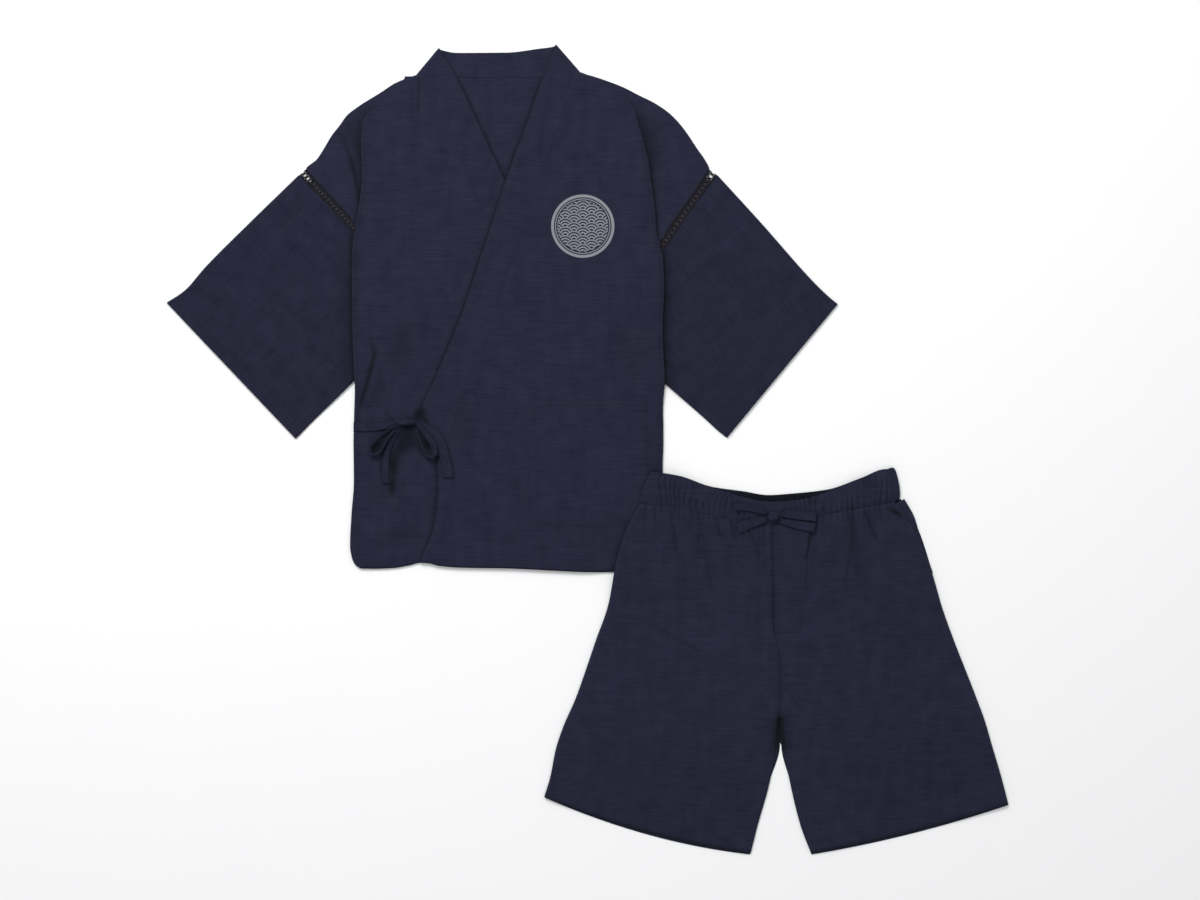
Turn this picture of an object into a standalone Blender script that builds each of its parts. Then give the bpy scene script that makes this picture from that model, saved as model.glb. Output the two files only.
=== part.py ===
"""A jinbei set laid flat: a wrap top with a tied bow, and gathered shorts over its corner.

Sizes are millimetres in each garment's own frame: +X to the right of a viewer above,
+Y towards the neck or the waist, +Z up from the surface that the cloth lies on.
Left and right in the names are the wearer's.
"""

import math
from bisect import bisect_right
from collections import namedtuple

import bmesh
import bpy
from mathutils import Vector

MM = 0.001

# Cloth and seams
CLOTH = 1.2  # one layer
DOUBLED = 2.4  # the collar is folded cloth
BAND = 2.0  # waistband
STRAP = 1.6  # ties and drawstring
GAP = 0.3  # between pieces at a seam
ON_BACK = CLOTH + GAP  # where a layer on the back panel starts

# Places of the two garments: the hem's middle of the top, the lowest hem of the shorts
TOP_PLACE = (-119.0, -170.6, 0.0)
SHORTS_PLACE = (270.0, -582.6, 0.0)

# Stacks of layers
SLEEVE_STACK = 3.2  # what a sleeve inside the body adds under a front
SLEEVE_RAMP = 45.0  # how far outside the sleeve the front comes down again
UNDERLAP_STACK = 2.8  # cloth and collar of the front below
UNDERLAP_RAMP = 60.0
ROW_SPACING = 19.0
FOLD_RADIUS = 1.5
CREST_REACH = 55.0  # how far a folded edge keeps the front up
SIDE_LIFT = 40.0  # the sleeve's underside climbs onto the back panel over this width
SIDE_CLEAR = 16.0  # and is up this far before it
SHORTS_LIFT = 6.0  # the top's corner lies below the shorts
SHORTS_RAMP = 60.0

LACE_WIDTH = 13.0
LACE_PITCH = 8.4
LACE_RAIL = 2.9
LACE_COUNT = 13  # gaps of one band
GATHERS = 36  # of the waistband's front
GATHER_HEIGHT = 0.9

NAVY = (0.021, 0.021, 0.045)
BLACK_THREAD = (0.010, 0.009, 0.010)
INK_NAVY = (0.017, 0.017, 0.038)


def table(names, rows):
    """Rows with named columns; the first column is the place of the row."""
    row = namedtuple("Row", names)
    return [row(*values) for values in rows]


# The top's outline and layers at each height: crest and foot are how high the cloth
# stands just inside its side fold and outside it.
RIGHT_FRONT = table(
    "y edge fold foot crest seam",
    [
        (0, -207, -205.5, 1.5, 1.2, 100),
        (6, -215, -213.5, 1.5, 1.8, 100),
        (16, -219.5, -218, 1.5, 2.2, 100),
        (32, -222, -220.5, 1.5, 2.5, 99),
        (76, -220, -218.5, 1.5, 2.6, 98),
        (125, -216.5, -215, 1.5, 2.6, 96),
        (181, -217, -215.5, 1.5, 2.6, 94),
        (225, -216, -214.5, 1.5, 2.6, 92),
        (258, -215, -213.5, 2.4, 2.4, 88),
        (273, -215.7, -214.2, 4.7, 2.3, 86),
        (284, -216.3, -214.8, 4.7, 2.3, 84.2),
        (301, -217.2, -215.7, 4.7, 2.3, 77.8),
        (321, -218, -216.5, 4.7, 2.4, 68.3),
        (372, -219, -217.5, 4.7, 2.6, 43),
        (421, -219.3, -217.8, 4.7, 2.7, 18.3),
        (455, -218.6, -217.1, 4.7, 2.9, 1.6),
        (478, -217, -215.5, 4.7, 3.0, -9.8),
        (489, -213.2, -211.7, 4.7, 3.3, -15.2),
        (496, -214.1, -211.5, 4.7, 3.6, -18.7),
        (509, -226.1, -210.0, 1.6, 4.4, -25.1),
        (526, -241.9, -207, 1.5, 4.6, -33.5),
        (550, -264.2, -204, 1.5, 4.4, -45.4),
        (566, -279.0, -203.5, 1.5, 4.1, -53.5),
        (574, -286.4, -203.5, 1.5, 3.9, -57.6),
        (588, -271, -204, 1.5, 3.4, -64.7),
        (603, -261, -205, 1.5, 2.8, -72.3),
        (623, -249, -205.5, 1.5, 1.9, -82.4),
        (639, -236.5, -205, 1.5, 1.2, -90.5),
        (651, -228, -200, 1.5, 0.7, -96.6),
        (665, -210, -188, 1.5, 0.4, -103.7),
        (685, -177, -164, 1.5, 0.3, -113.8),
        (704, -144, -138, 1.5, 0.2, -123.4),
    ],
)
LEFT_FRONT = table(
    "y edge fold foot crest seam",
    [
        (0, 219, 217.5, 1.5, 0.6, -121.5),
        (9, 224, 222.5, 1.5, 0.8, -120),
        (32, 225, 223.5, 1.5, 0.8, -111),
        (59, 225.5, 224, 1.5, 0.8, -102.5),
        (87, 226, 224.5, 1.5, 1.0, -97.5),
        (118, 226, 224.5, 1.5, 1.6, -96),
        (150, 226, 224.5, 1.5, 2.2, -97.5),
        (163, 226.5, 225, 1.5, 2.4, -93),
        (178, 227, 225.5, 1.5, 2.4, -85.5),
        (200, 227, 225.5, 1.5, 2.4, -78),
        (228, 226.5, 225, 1.5, 2.4, -70),
        (254, 228, 226.5, 2.2, 2.3, -60.5),
        (272, 229.5, 228, 4.7, 2.2, -54),
        (300, 228, 226.5, 4.7, 2.3, -42),
        (347, 226.5, 225, 4.7, 2.5, -22.5),
        (402, 228.5, 227, 4.7, 2.7, -4),
        (445, 227, 225.5, 4.7, 2.9, 10.5),
        (463, 222.5, 221, 4.7, 3.2, 16),
        (470, 221.9, 219, 4.7, 3.5, 18.4),
        (486, 233.0, 216, 1.6, 4.2, 23.8),
        (513, 251.9, 214, 1.5, 4.6, 33),
        (541, 271.4, 210.5, 1.5, 4.5, 42.5),
        (555, 281.2, 208.5, 1.5, 4.4, 47.2),
        (566, 288.9, 207, 1.5, 4.3, 50.8),
        (573.5, 294.1, 206, 1.5, 4.2, 53.3),
        (588, 287.5, 204, 1.5, 3.8, 58.5),
        (603, 277, 200, 1.5, 3.2, 63.5),
        (625, 262.5, 195, 1.5, 2.2, 71.5),
        (640, 251, 191, 1.5, 1.5, 76.5),
        (655, 236, 187, 1.5, 0.9, 82),
        (670, 214, 180, 1.5, 0.5, 87.5),
        (680, 193.5, 170, 1.5, 0.4, 91.5),
        (693, 168, 150, 1.5, 0.3, 96.5),
        (709, 124, 117, 1.5, 0.2, 103),
    ],
)
# The hem is not straight: it rises to the notch where the fronts cross.
HEM = table(
    "x rise",
    [
        (-230, 0),
        (-186, -1),
        (-161, 0),
        (-139, 3.5),
        (-121, 7.5),
        (-108, 6.5),
        (-94, 3),
        (-60, 0.5),
        (0, -0.5),
        (134, -6),
        (230, -4),
    ],
)
HEM_FADE = 60.0
UNDERLAP_EDGE = table(
    "y x",
    [
        (0, 100),
        (200, 90),
        (284, 95),
        (305, 125),
        (343, 110),
        (441, 60),
        (559, 2),
        (620, -90),
        (750, -300),
    ],
)

# Sleeves: one row for each section from the armhole to the cuff, its corner on the
# folded upper edge and its corner on the lower seam
SLEEVE_RIGHT = table(
    "at upper_x upper_y lower_x lower_y",
    [
        (0.0, -297.3, 565.2, -116, 369),
        (0.36, -366, 498.5, -183, 303),
        (0.7, -431, 433.5, -246, 240.5),
        (0.86, -461, 399.5, -275, 212.5),
        (1.0, -487, 382, -301, 186),
    ],
)
SLEEVE_LEFT = table(
    "at upper_x upper_y lower_x lower_y",
    [
        (0.0, 306, 565.5, 148.6, 337),
        (0.36, 369, 496.5, 211, 282),
        (0.8, 445, 411, 285.5, 217),
        (0.93, 468.5, 388.5, 308, 196.5),
        (1.0, 479, 380, 319.5, 187.5),
    ],
)

# The collar: free edge, seam edge and mid height of each section, from the end hidden
# below the left front, over the right shoulder, behind the neck and down the left front
COLLAR = table(
    "free_x free_y seam_x seam_y z",
    [
        (125, 305, 86, 284, 2.7),
        (108, 343, 69, 321, 2.7),
        (58, 441, 18.5, 421.6, 2.7),
        (0, 559, -39.5, 540, 2.7),
        (-40, 645, -80.5, 626, 2.8),
        (-66, 701, -108, 680, 3.4),
        (-93.0, 746.1, -124.2, 708.4, 3.9),
        (-94.6, 747.9, -125.9, 710.3, 2.55),
        (-93.0, 746.1, -124.2, 708.4, 1.2),
        (-66, 741.5, -70, 708.3, 1.2),
        (3, 742, 0, 708.3, 1.2),
        (45, 747, 52, 708.8, 1.2),
        (71.4, 750.9, 104.4, 713.1, 1.2),
        (72.8, 752.9, 105.8, 715.0, 2.55),
        (71.2, 750.6, 104.2, 712.8, 3.9),
        (53, 703, 95.5, 688, 4.6),
        (31, 642, 73, 627, 5.3),
        (0, 556, 42, 542, 5.7),
        (-32, 459, 10, 445, 5.7),
        (-65, 361, -23, 347, 5.7),
        (-102, 271, -61, 255, 5.7),
        (-120, 230, -71, 228, 5.7),
        (-112, 200, -78.6, 200, 5.6),
        (-103.5, 177, -86.4, 178, 5.4),
        (-99.8, 162, -94, 162.6, 5.3),
    ],
)

# Soft ridges (height above 0) and troughs (below 0) of the fronts
FOLD = "x1 y1 x2 y2 width height"
RIGHT_FRONT_FOLDS = table(
    FOLD,
    [
        (-255, 600, -228, 530, 16, 1.8),
        (-124, 712, -124, 650, 5, -0.8),
        (-178, 322, -201, 236, 9, 2.2),
        (-192, 318, -210, 240, 6, -0.8),
        (-160, 380, -150, 250, 22, 1.6),
        (-170, 90, -130, 150, 20, 1.4),
        (-205, 40, -150, 62, 14, 1.0),
    ],
)
LEFT_FRONT_FOLDS = table(
    FOLD,
    [
        (240, 600, 225, 520, 16, 1.6),
        (190, 560, 180, 470, 24, 1.2),
        (-80, 290, -100, 210, 14, 1.4),
        (120, 420, 180, 380, 30, 1.2),
        (-20, 120, 60, 30, 26, 1.0),
        (170, 180, 224, 150, 12, 1.2),
    ],
)

BACK_TOP = 707.9  # the seam behind the neck
POCKET_TOP, POCKET_BOTTOM = 241, 59
POCKET = table(
    "y left right",
    [
        (POCKET_BOTTOM, 32, 206),
        (120, 35, 206),
        (180, 38, 206),
        (POCKET_TOP, 39, 206),
    ],
)

CROSSING = table(
    "y front seam",
    [
        (0, -122, -122),
        (32, -112, -112),
        (59, -104, -104),
        (118, -97.5, -97.5),
        (158, -100, -94),
        (177, -104.5, -85),
        (200, -113, -77.5),
        (230, -121, -69.5),
        (271, -103, -55),
    ],
)

# Straps of the bow: x, y of the middle, half width across, height of its two edges
TIE = "x y across_x across_y low high"
SIDE_TIE = table(
    TIE,
    [
        (-219, 203, 0, 6.5, 0.2, 0.2),
        (-204, 203, 0, 6.5, 0.3, 0.3),
        (-187, 203, 0.5, 6.0, 0.6, 1.0),
        (-172, 204.5, 1.0, 5.0, 1.0, 2.4),
        (-157, 206.5, 1.0, 4.0, 1.6, 4.0),
    ],
)
LOOP_RIGHT = table(
    TIE,
    [
        (-156, 204, -1.2, 2.5, 2.6, 7.5),
        (-168, 197.5, -2.2, 2.6, 1.2, 9.5),
        (-182, 185.5, -2.6, 2.4, 0.5, 10.0),
        (-193, 172, -2.8, 1.2, 0.3, 9.0),
        (-193, 163.5, -1.6, -1.6, 0.3, 8.0),
        (-185, 161.5, 1.0, -2.2, 1.4, 8.0),
        (-175, 170, 2.0, -1.8, 3.4, 8.8),
        (-166, 184, 2.2, -1.2, 3.6, 8.6),
        (-158, 196, 1.6, -1.0, 3.8, 7.6),
    ],
)
LOOP_LEFT = table(
    TIE,
    [
        (-126, 208.5, 1.6, 3.2, 2.6, 5.6),
        (-116, 200, 4.0, 3.6, 3.2, 6.8),
        (-107, 188, 5.2, 2.6, 3.4, 6.8),
        (-103, 175, 6.0, 0.8, 3.4, 6.6),
        (-103.5, 163.5, 5.2, -1.8, 3.0, 6.6),
        (-109.5, 159.5, 0.4, -3.2, 1.6, 7.6),
        (-117, 168, -2.2, -1.6, 1.0, 8.8),
        (-122, 183, -2.0, -0.8, 1.2, 9.0),
        (-126, 196, -1.8, -0.6, 2.6, 7.8),
    ],
)
TAIL_RIGHT = table(
    TIE,
    [
        (-155, 197, -3.2, 1.2, 0.2, 1.2),
        (-160, 188, -3.4, 1.0, 0.2, 1.2),
        (-165, 176, -3.6, 0.6, 0.3, 1.6),
        (-170, 157, -3.6, 0.2, 0.3, 2.6),
        (-172.5, 137, -3.6, 0, 0.3, 2.6),
        (-172.5, 121, -3.8, 0, 0.3, 2.2),
    ],
)
TAIL_LEFT = table(
    TIE,
    [
        (-117, 205.5, 3.4, 4.0, 0.2, 0.6),
        (-106, 197.5, 5.0, 4.4, 0.1, 0.4),
        (-96, 186.5, 6.4, 3.4, 0.1, 0.3),
        (-90, 172, 7.2, 2.2, 0.1, 0.2),
        (-86.5, 156, 7.8, 1.4, 0.2, 0.2),
        (-83.5, 140, 8.2, 0.6, 0.2, 0.2),
        (-82.5, 128, 8.4, 0, 0.2, 0.2),
    ],
)
KNOT = {"place": (-140.5, 208.0), "size": (13.5, 6.2, 4.4), "turn": 4}

# Shorts: one row for each section of a leg, its corner on the side and its corner on
# the centre seam or the inseam; bow is how far its middle sags towards the hem
LEG = "at side_x side_y inner_x inner_y bow"
FRONT_RIGHT_LEG = table(
    LEG,
    [
        (0.0, -332.5, 82.5, -35.5, 1.5, 10),
        (0.07, -324, 110, -25, 43, 8),
        (0.17, -315.5, 152, -9, 100, 4),
        (0.27, -304, 186, 0.5, 150, 2),
        (0.37, -288, 222, 4.5, 196, 0),
        (0.47, -275, 258, 7.5, 236, 0),
        (0.57, -258, 308, 5.5, 283, 0),
        (0.7, -240, 360, -2.5, 333, 0),
        (0.82, -229.5, 418, -4.2, 385, 0),
        (0.87, -222, 445, -4.8, 415, 1),
        (0.93, -212.5, 470, -5.5, 440, 1),
        (0.97, -203, 488, -6, 459, 0),
        (1.0, -194, 502.2, -7, 472.6, 0),
    ],
)
FRONT_LEFT_LEG = table(
    LEG,
    [
        (0.0, 335.5, 71.5, 51.5, 1.5, 5),
        (0.07, 325, 112, 36, 43, 4),
        (0.17, 312, 156, 22, 100, 2),
        (0.27, 301.5, 192, 13, 150, 1),
        (0.37, 289, 226, 8.2, 196, 0),
        (0.47, 275, 262, 8.3, 236, 0),
        (0.57, 258, 305, 6.3, 283, 0),
        (0.7, 240, 355, -1.7, 333, 0),
        (0.82, 224, 409, -3.8, 385, 0),
        (0.87, 209, 434, -4.5, 415, 0),
        (0.93, 195, 459, -5.5, 440, 0),
        (0.97, 180, 485, -6, 459, 0),
        (1.0, 167, 501, -6.2, 472.6, 0),
    ],
)
BACK_RIGHT_LEG = table(
    LEG,
    [
        (0.0, -331, 81, -36.5, -0.5, 12),
        (0.07, -322.5, 110, -26, 43, 9),
        (0.17, -314, 152, -10, 100, 4),
        (0.29, -302.5, 186, 6.8, 157, 2),
        (0.37, -286.5, 222, 7.2, 196, 0),
        (0.47, -273.5, 258, 7.5, 236, 0),
        (0.57, -256.5, 308, 5.5, 283, 0),
        (0.7, -238.5, 360, -2.5, 333, 0),
        (0.83, -226.5, 425, -4.5, 395, 0),
        (0.92, -211.5, 470, -5.5, 440, 1),
        (1.0, -193, 502.2, -7, 472.6, 0),
    ],
)
BACK_LEFT_LEG = table(
    LEG,
    [
        (0.0, 334, 70, 52.5, -0.5, 6),
        (0.07, 323.5, 112, 37, 43, 4),
        (0.17, 310.5, 156, 23, 100, 2),
        (0.29, 299.5, 192, 8.8, 157, 1),
        (0.37, 287.5, 226, 8.2, 196, 0),
        (0.47, 273.5, 262, 8.3, 236, 0),
        (0.57, 256.5, 305, 6.3, 283, 0),
        (0.7, 238.5, 355, -1.7, 333, 0),
        (0.83, 222, 420, -3.8, 395, 0),
        (0.92, 204.5, 470, -4.8, 440, 0),
        (1.0, 181, 508.8, -6.2, 472.6, 0),
    ],
)
CROTCH = 196.0
CENTRE_SEAM = table(
    "y x",
    [
        (150, 6.2),
        (196, 6.4),
        (236, 7.9),
        (283, 6.0),
        (333, -2.0),
        (390, -4.1),
        (440, -5.0),
        (474, -6.6),
    ],
)
POCKET_FACING = table(
    "at side_x side_y inner_x inner_y",
    [
        (0.0, 227, 405, 196, 397),
        (0.25, 219, 428, 186, 418),
        (0.5, 208.5, 458, 172, 442),
        (0.75, 199, 485, 156, 466),
        (1.0, 187, 508, 142, 486),
    ],
)
SHORTS_FOLDS = table(
    FOLD,
    [
        (-165, 498, -150, 440, 9, 2.6),
        (-138, 494, -134, 412, 9, -1.4),
        (-120, 490, -118, 430, 9, 2.6),
        (-96, 488, -90, 330, 9, -1.6),
        (-78, 482, -66, 420, 10, 2.4),
        (-44, 478, -40, 430, 9, 1.8),
        (62, 486, 46, 360, 8, -1.6),
        (86, 488, 72, 420, 11, 3.0),
        (110, 494, 98, 382, 8, -1.6),
        (122, 494, 128, 440, 9, 2.6),
        (125, 496, 145, 456, 6, -1.2),
        (152, 498, 160, 450, 9, 2.2),
        (-181, 330, -111, 291, 14, 1.4),
        (-111, 291, -60, 303, 14, 1.2),
        (20, 300, 125, 323, 14, 1.4),
        (25, 180, 60, 120, 16, 1.6),
        (-25, 190, -60, 120, 16, 1.4),
        (-230, 250, -200, 120, 30, 1.6),
        (250, 250, 230, 120, 30, 1.6),
    ],
)
BELOW_BAND = 3.0  # the fronts hang from the raised band and come down over BAND_FALL
BAND_FALL = 70.0

# The waistband is one flattened ring: its front from side to side, then its back
BAND_FRONT = table(
    "top_x top_y low_x low_y z",
    [
        (-178, 550.3, -193.5, 503.4, 3.2),
        (-175.5, 550.5, -190.5, 502.9, 5.0),
        (-166, 549.0, -181, 501.4, 5.9),
        (-137, 543.5, -148, 498.1, 6.3),
        (-101, 530.5, -108, 490.1, 6.1),
        (-58, 517.5, -63, 481.1, 5.9),
        (-7, 507.5, -7, 473.6, 5.8),
        (40, 511.5, 40, 479.1, 5.9),
        (75, 521.5, 75, 488.1, 6.1),
        (122, 540.5, 125, 497.1, 6.3),
        (160, 554, 170, 506.1, 5.9),
        (171, 557.3, 179, 509.9, 5.0),
        (173.5, 557, 182, 510.2, 3.2),
    ],
)
BAND_BACK = table(
    "top_x top_y low_x low_y z",
    [
        (171, 557.3, 179.5, 510, 1.5),
        (160, 554.5, 170, 509, 1.0),
        (123, 541.5, 125, 498, 1.0),
        (75, 525, 75, 489, 1.0),
        (28, 519.5, 40, 480, 1.0),
        (-10, 517, -7, 474, 1.0),
        (-46, 522.5, -50, 481, 1.0),
        (-91, 529, -100, 490, 1.0),
        (-137, 544.5, -148, 499, 1.0),
        (-166, 549.5, -181, 502.5, 1.0),
        (-175.5, 550.5, -190.5, 503.5, 1.5),
    ],
)
FRONT_WAIST = table("x y", [(row.low_x, row.low_y) for row in BAND_FRONT])
BACK_WAIST = table("x y", [(row.low_x, row.low_y) for row in reversed(BAND_BACK)])
WAIST_SHARE = 0.2  # the upper part of a leg that is drawn to the waistband's seam
FLY = table("y left right", [(318, -0.5, 36), (360, -2, 44), (425, -3.4, 46), (468, -4.6, 52)])

# Drawstring: middle of the strap, half width, height of the two edges above the band
STRING_BASE = 8.6
BAND_MIDDLE = table(
    "x low_y z",
    [
        (-101, 490, 6.1),
        (-58, 481, 5.9),
        (-7, 473.6, 5.8),
        (40, 479, 5.9),
        (75, 488, 6.1),
    ],
)
STRING_LOOP_RIGHT = table(
    TIE,
    [
        (-12.5, 491, 0.5, 2.6, 0.4, 2.4),
        (-26, 496, -1.5, 5.0, 0.6, 2.0),
        (-44, 500, -1.0, 5.4, 0.6, 1.2),
        (-58, 500, -0.4, 4.8, 0.5, 1.0),
    ],
)
STRING_LOOP_LEFT = table(
    TIE,
    [
        (7, 489.5, -0.5, 2.6, 0.4, 2.6),
        (18, 489, 0.2, 5.4, 1.6, 2.6),
        (38, 487.5, 0.2, 6.4, 2.2, 2.6),
        (58, 485.5, 0.2, 6.4, 2.0, 2.2),
    ],
)
STRING_TAIL_RIGHT = table(
    TIE,
    [
        (-12, 483, -0.4, 3.2, 0.1, 0.8),
        (-26, 479, -1.0, 6.0, 0.1, 0.4),
        (-42, 474, -1.6, 7.0, 0.1, 0.3),
        (-54, 469.5, -2.4, 7.2, 0.1, 0.3),
    ],
)
STRING_TAIL_LEFT = table(
    TIE,
    [
        (7, 479.5, 0.6, 3.0, 0.1, 0.4),
        (22, 476.5, 0.6, 5.6, 0.1, 0.2),
        (40, 473, 1.0, 6.4, 0.1, 0.2),
        (57, 470.5, 1.2, 6.6, 0.1, 0.2),
    ],
)
STRING_KNOT = {"place": (-3.0, 486.5), "size": (9.0, 7.4, 4.2), "turn": 12}


def eased(t):
    """0 to 1 with a level start and end."""
    t = min(max(t, 0.0), 1.0)
    return t * t * (3 - 2 * t)


def monotone(xs, ys, x):
    """A smooth curve through the points that never overshoots them."""
    if x <= xs[0]:
        return ys[0]
    if x >= xs[-1]:
        return ys[-1]
    i = bisect_right(xs, x) - 1

    def secant(k):
        return (ys[k + 1] - ys[k]) / (xs[k + 1] - xs[k])

    def slope(k):
        if k == 0:
            return secant(0)
        if k == len(xs) - 1:
            return secant(k - 1)
        before, after = secant(k - 1), secant(k)
        return 2 * before * after / (before + after) if before * after > 0 else 0.0

    width = xs[i + 1] - xs[i]
    t = (x - xs[i]) / width
    start, end = slope(i) * width, slope(i + 1) * width
    return (
        (1 + 2 * t) * (1 - t) ** 2 * ys[i]
        + t * (1 - t) ** 2 * start
        + t * t * (3 - 2 * t) * ys[i + 1]
        - t * t * (1 - t) * end
    )


def read(rows, value):
    """The table's row at this value of its first column."""
    places = [row[0] for row in rows]
    columns = list(zip(*rows))[1:]
    return type(rows[0])(value, *(monotone(places, column, value) for column in columns))


def along(rows, spacing):
    """The rows of a strip with more between them, about this far apart."""
    steps = [0.0]
    for a, b in zip(rows, rows[1:]):
        steps.append(steps[-1] + max(math.dist(a[:2], b[:2]), math.dist(a[2:4], b[2:4]), 0.5))
    columns = list(zip(*rows))
    found = []
    for k, (start, end) in enumerate(zip(steps, steps[1:])):
        count = max(1, round((end - start) / spacing))
        for j in range(count if k < len(steps) - 2 else count + 1):
            place = start + (end - start) * j / count
            found.append(type(rows[0])(*(monotone(steps, column, place) for column in columns)))
    return found


def relief(x, y, folds):
    """Height that the soft ridges and troughs add at a point."""
    total = 0.0
    for fold in folds:
        run = Vector((fold.x2 - fold.x1, fold.y2 - fold.y1))
        away = Vector((x - fold.x1, y - fold.y1))
        share = away.dot(run) / run.length_squared
        aside = abs(away.cross(run)) / run.length
        past = max(0.0, -share, share - 1) * run.length
        total += fold.height * math.exp(-((aside / fold.width) ** 2) - (past / (2 * fold.width)) ** 2)
    return total


def over_sleeve(x, y, sleeve):
    """1 above the sleeve's end inside the body, 0 clear of it."""
    first, last = sleeve[0], sleeve[-1]
    corner = Vector((first.lower_x, first.lower_y))
    shoulder = Vector((first.upper_x, first.upper_y))
    cuff = Vector((last.lower_x, last.lower_y))
    away = Vector((x, y)) - corner
    outside = 0.0
    for end, other in ((shoulder, cuff), (cuff, shoulder)):
        run = (end - corner).normalized()
        normal = Vector((run.y, -run.x))
        if normal.dot(other - corner) > 0:
            normal.negate()
        outside = max(outside, normal.dot(away))
    return 1 - eased(outside / SLEEVE_RAMP)


def front_height(x, y, section, toward, level, folds):
    """Underside of a front: its foot outside the side fold, then the crest and the level."""
    inside = (x - section.fold) * toward
    main = level + section.crest * math.exp(-max(inside, 0.0) / CREST_REACH)
    main += relief(x, y, folds) * eased(inside / 20)
    outer = section.foot + relief(x, y, folds) * eased((x - section.edge) * toward / 25) * 0.7
    step = eased((inside + FOLD_RADIUS) / (2 * FOLD_RADIUS + 2))
    return max(outer + (main - outer) * step, ON_BACK)


def right_front_height(x, y):
    level = ON_BACK + SLEEVE_STACK * over_sleeve(x, y, SLEEVE_RIGHT)
    return front_height(x, y, read(RIGHT_FRONT, y), 1, level, RIGHT_FRONT_FOLDS)


def left_front_height(x, y):
    below = right_front_height(x, y) + UNDERLAP_STACK
    outside = x - read(UNDERLAP_EDGE, y).x
    level = below + (ON_BACK - below) * eased(outside / UNDERLAP_RAMP)
    level = max(level, ON_BACK + SLEEVE_STACK * over_sleeve(x, y, SLEEVE_LEFT))
    return front_height(x, y, read(LEFT_FRONT, y), -1, level, LEFT_FRONT_FOLDS)


def hem_shift(x, y):
    return read(HEM, x).rise * max(0.0, 1 - y / HEM_FADE)


def top_layers(x, y):
    """Upper face of whatever lies highest on the top at a point near the bow."""
    row = read(CROSSING, y)
    if x < row.front:
        return right_front_height(x, y) + CLOTH
    if y > 158 and row.front <= x <= row.seam:
        return 5.7 + DOUBLED / 2
    return left_front_height(x, y) + CLOTH


def top_surface(x, y):
    """The height a strap needs there, with a little room either side."""
    return max(top_layers(x + step, y) for step in (-7, 0, 7))


def shorts_lift(x, y):
    """How far the top's corner lifts the shorts."""
    beyond = math.hypot(max(0.0, x + 163), max(0.0, 409 - y))
    return SHORTS_LIFT * (1 - eased(beyond / SHORTS_RAMP))


def leg_height(x, y, side, inner):
    """Underside of a front leg, side and inner being the distances to its two edges."""
    hang = BELOW_BAND * math.exp(-max(474.0 - y, 0.0) / BAND_FALL)
    crest = 2.6 * (1 - math.exp(-side / 3)) * math.exp(-side / CREST_REACH)
    crest += 1.3 * (1 - math.exp(-inner / 8)) * math.exp(-inner / CREST_REACH)
    soft = relief(x, y, SHORTS_FOLDS) * eased(side / 18) * eased(inner / 12)
    return shorts_lift(x, y) + ON_BACK + max(hang + crest + soft, 0.1)


def material(name, colour, roughness):
    made = bpy.data.materials.new(name)
    made.use_nodes = True
    shader = made.node_tree.nodes["Principled BSDF"]
    shader.inputs["Base Color"].default_value = (*colour, 1)
    shader.inputs["Roughness"].default_value = roughness
    shader.inputs["Metallic"].default_value = 0
    return made


def empty(name, place):
    made = bpy.data.objects.new(name, None)
    made.location = Vector(place) * MM
    jinbei.objects.link(made)
    return made


def add(name, bm, finish, garment):
    """A named piece of a garment from its bmesh."""
    mesh = bpy.data.meshes.new(name)
    bm.to_mesh(mesh)
    bm.free()
    mesh.materials.append(finish)
    mesh.shade_smooth()
    made = bpy.data.objects.new(name, mesh)
    made.parent = garment
    jinbei.objects.link(made)
    return made


def grid(rows, closed=False):
    """A grid bmesh through rows of points in millimetres; closed joins its two sides."""
    columns = len(rows[0])
    bm = bmesh.new()
    bmesh.ops.create_grid(bm, x_segments=columns - 1, y_segments=len(rows) - 1, size=1)
    for vert in bm.verts:
        column = round((vert.co.x + 1) / 2 * (columns - 1))
        row = round((vert.co.y + 1) / 2 * (len(rows) - 1))
        vert.co = Vector(rows[row][column]) * MM
    if closed:
        bmesh.ops.remove_doubles(bm, verts=bm.verts, dist=1e-6)
    return bm


def wall(piece, thickness, offset):
    solid = piece.modifiers.new("wall", "SOLIDIFY")
    solid.thickness = thickness * MM
    solid.offset = offset
    return piece


def front_columns(section, toward):
    """X of a front's grid points at one height, close together at the side fold."""
    outer = section.fold - section.edge
    places = [section.edge, section.edge + outer / 2, section.fold]
    inner = section.seam - section.fold
    places += [section.fold + toward * step for step in (2.0, 5.0) if step < abs(inner) / 3]
    shares = (0.07, 0.18, 0.32, 0.48, 0.64, 0.82, 1.0)
    while len(places) < 5:
        places.append(section.fold + inner * 0.02 * len(places))
    return places + [section.fold + inner * share for share in shares]


def front_heights(rows):
    """Y of a front's rows of grid points."""
    heights = [rows[0].y]
    for lower, upper in zip(rows, rows[1:]):
        steps = math.ceil((upper.y - lower.y) / ROW_SPACING)
        heights += [lower.y + (upper.y - lower.y) * step / steps for step in range(1, steps + 1)]
    return heights


def front(name, rows, height, toward):
    """A front panel, as a sheet laid over what is below it."""
    sections = []
    for y in front_heights(rows):
        places = front_columns(read(rows, y), toward)
        sections.append([(x, y + hem_shift(x, y), height(x, y)) for x in places])
    if toward < 0:
        sections = [list(reversed(section)) for section in sections]
    return wall(add(name, grid(sections), navy, top), CLOTH, 1)


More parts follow.
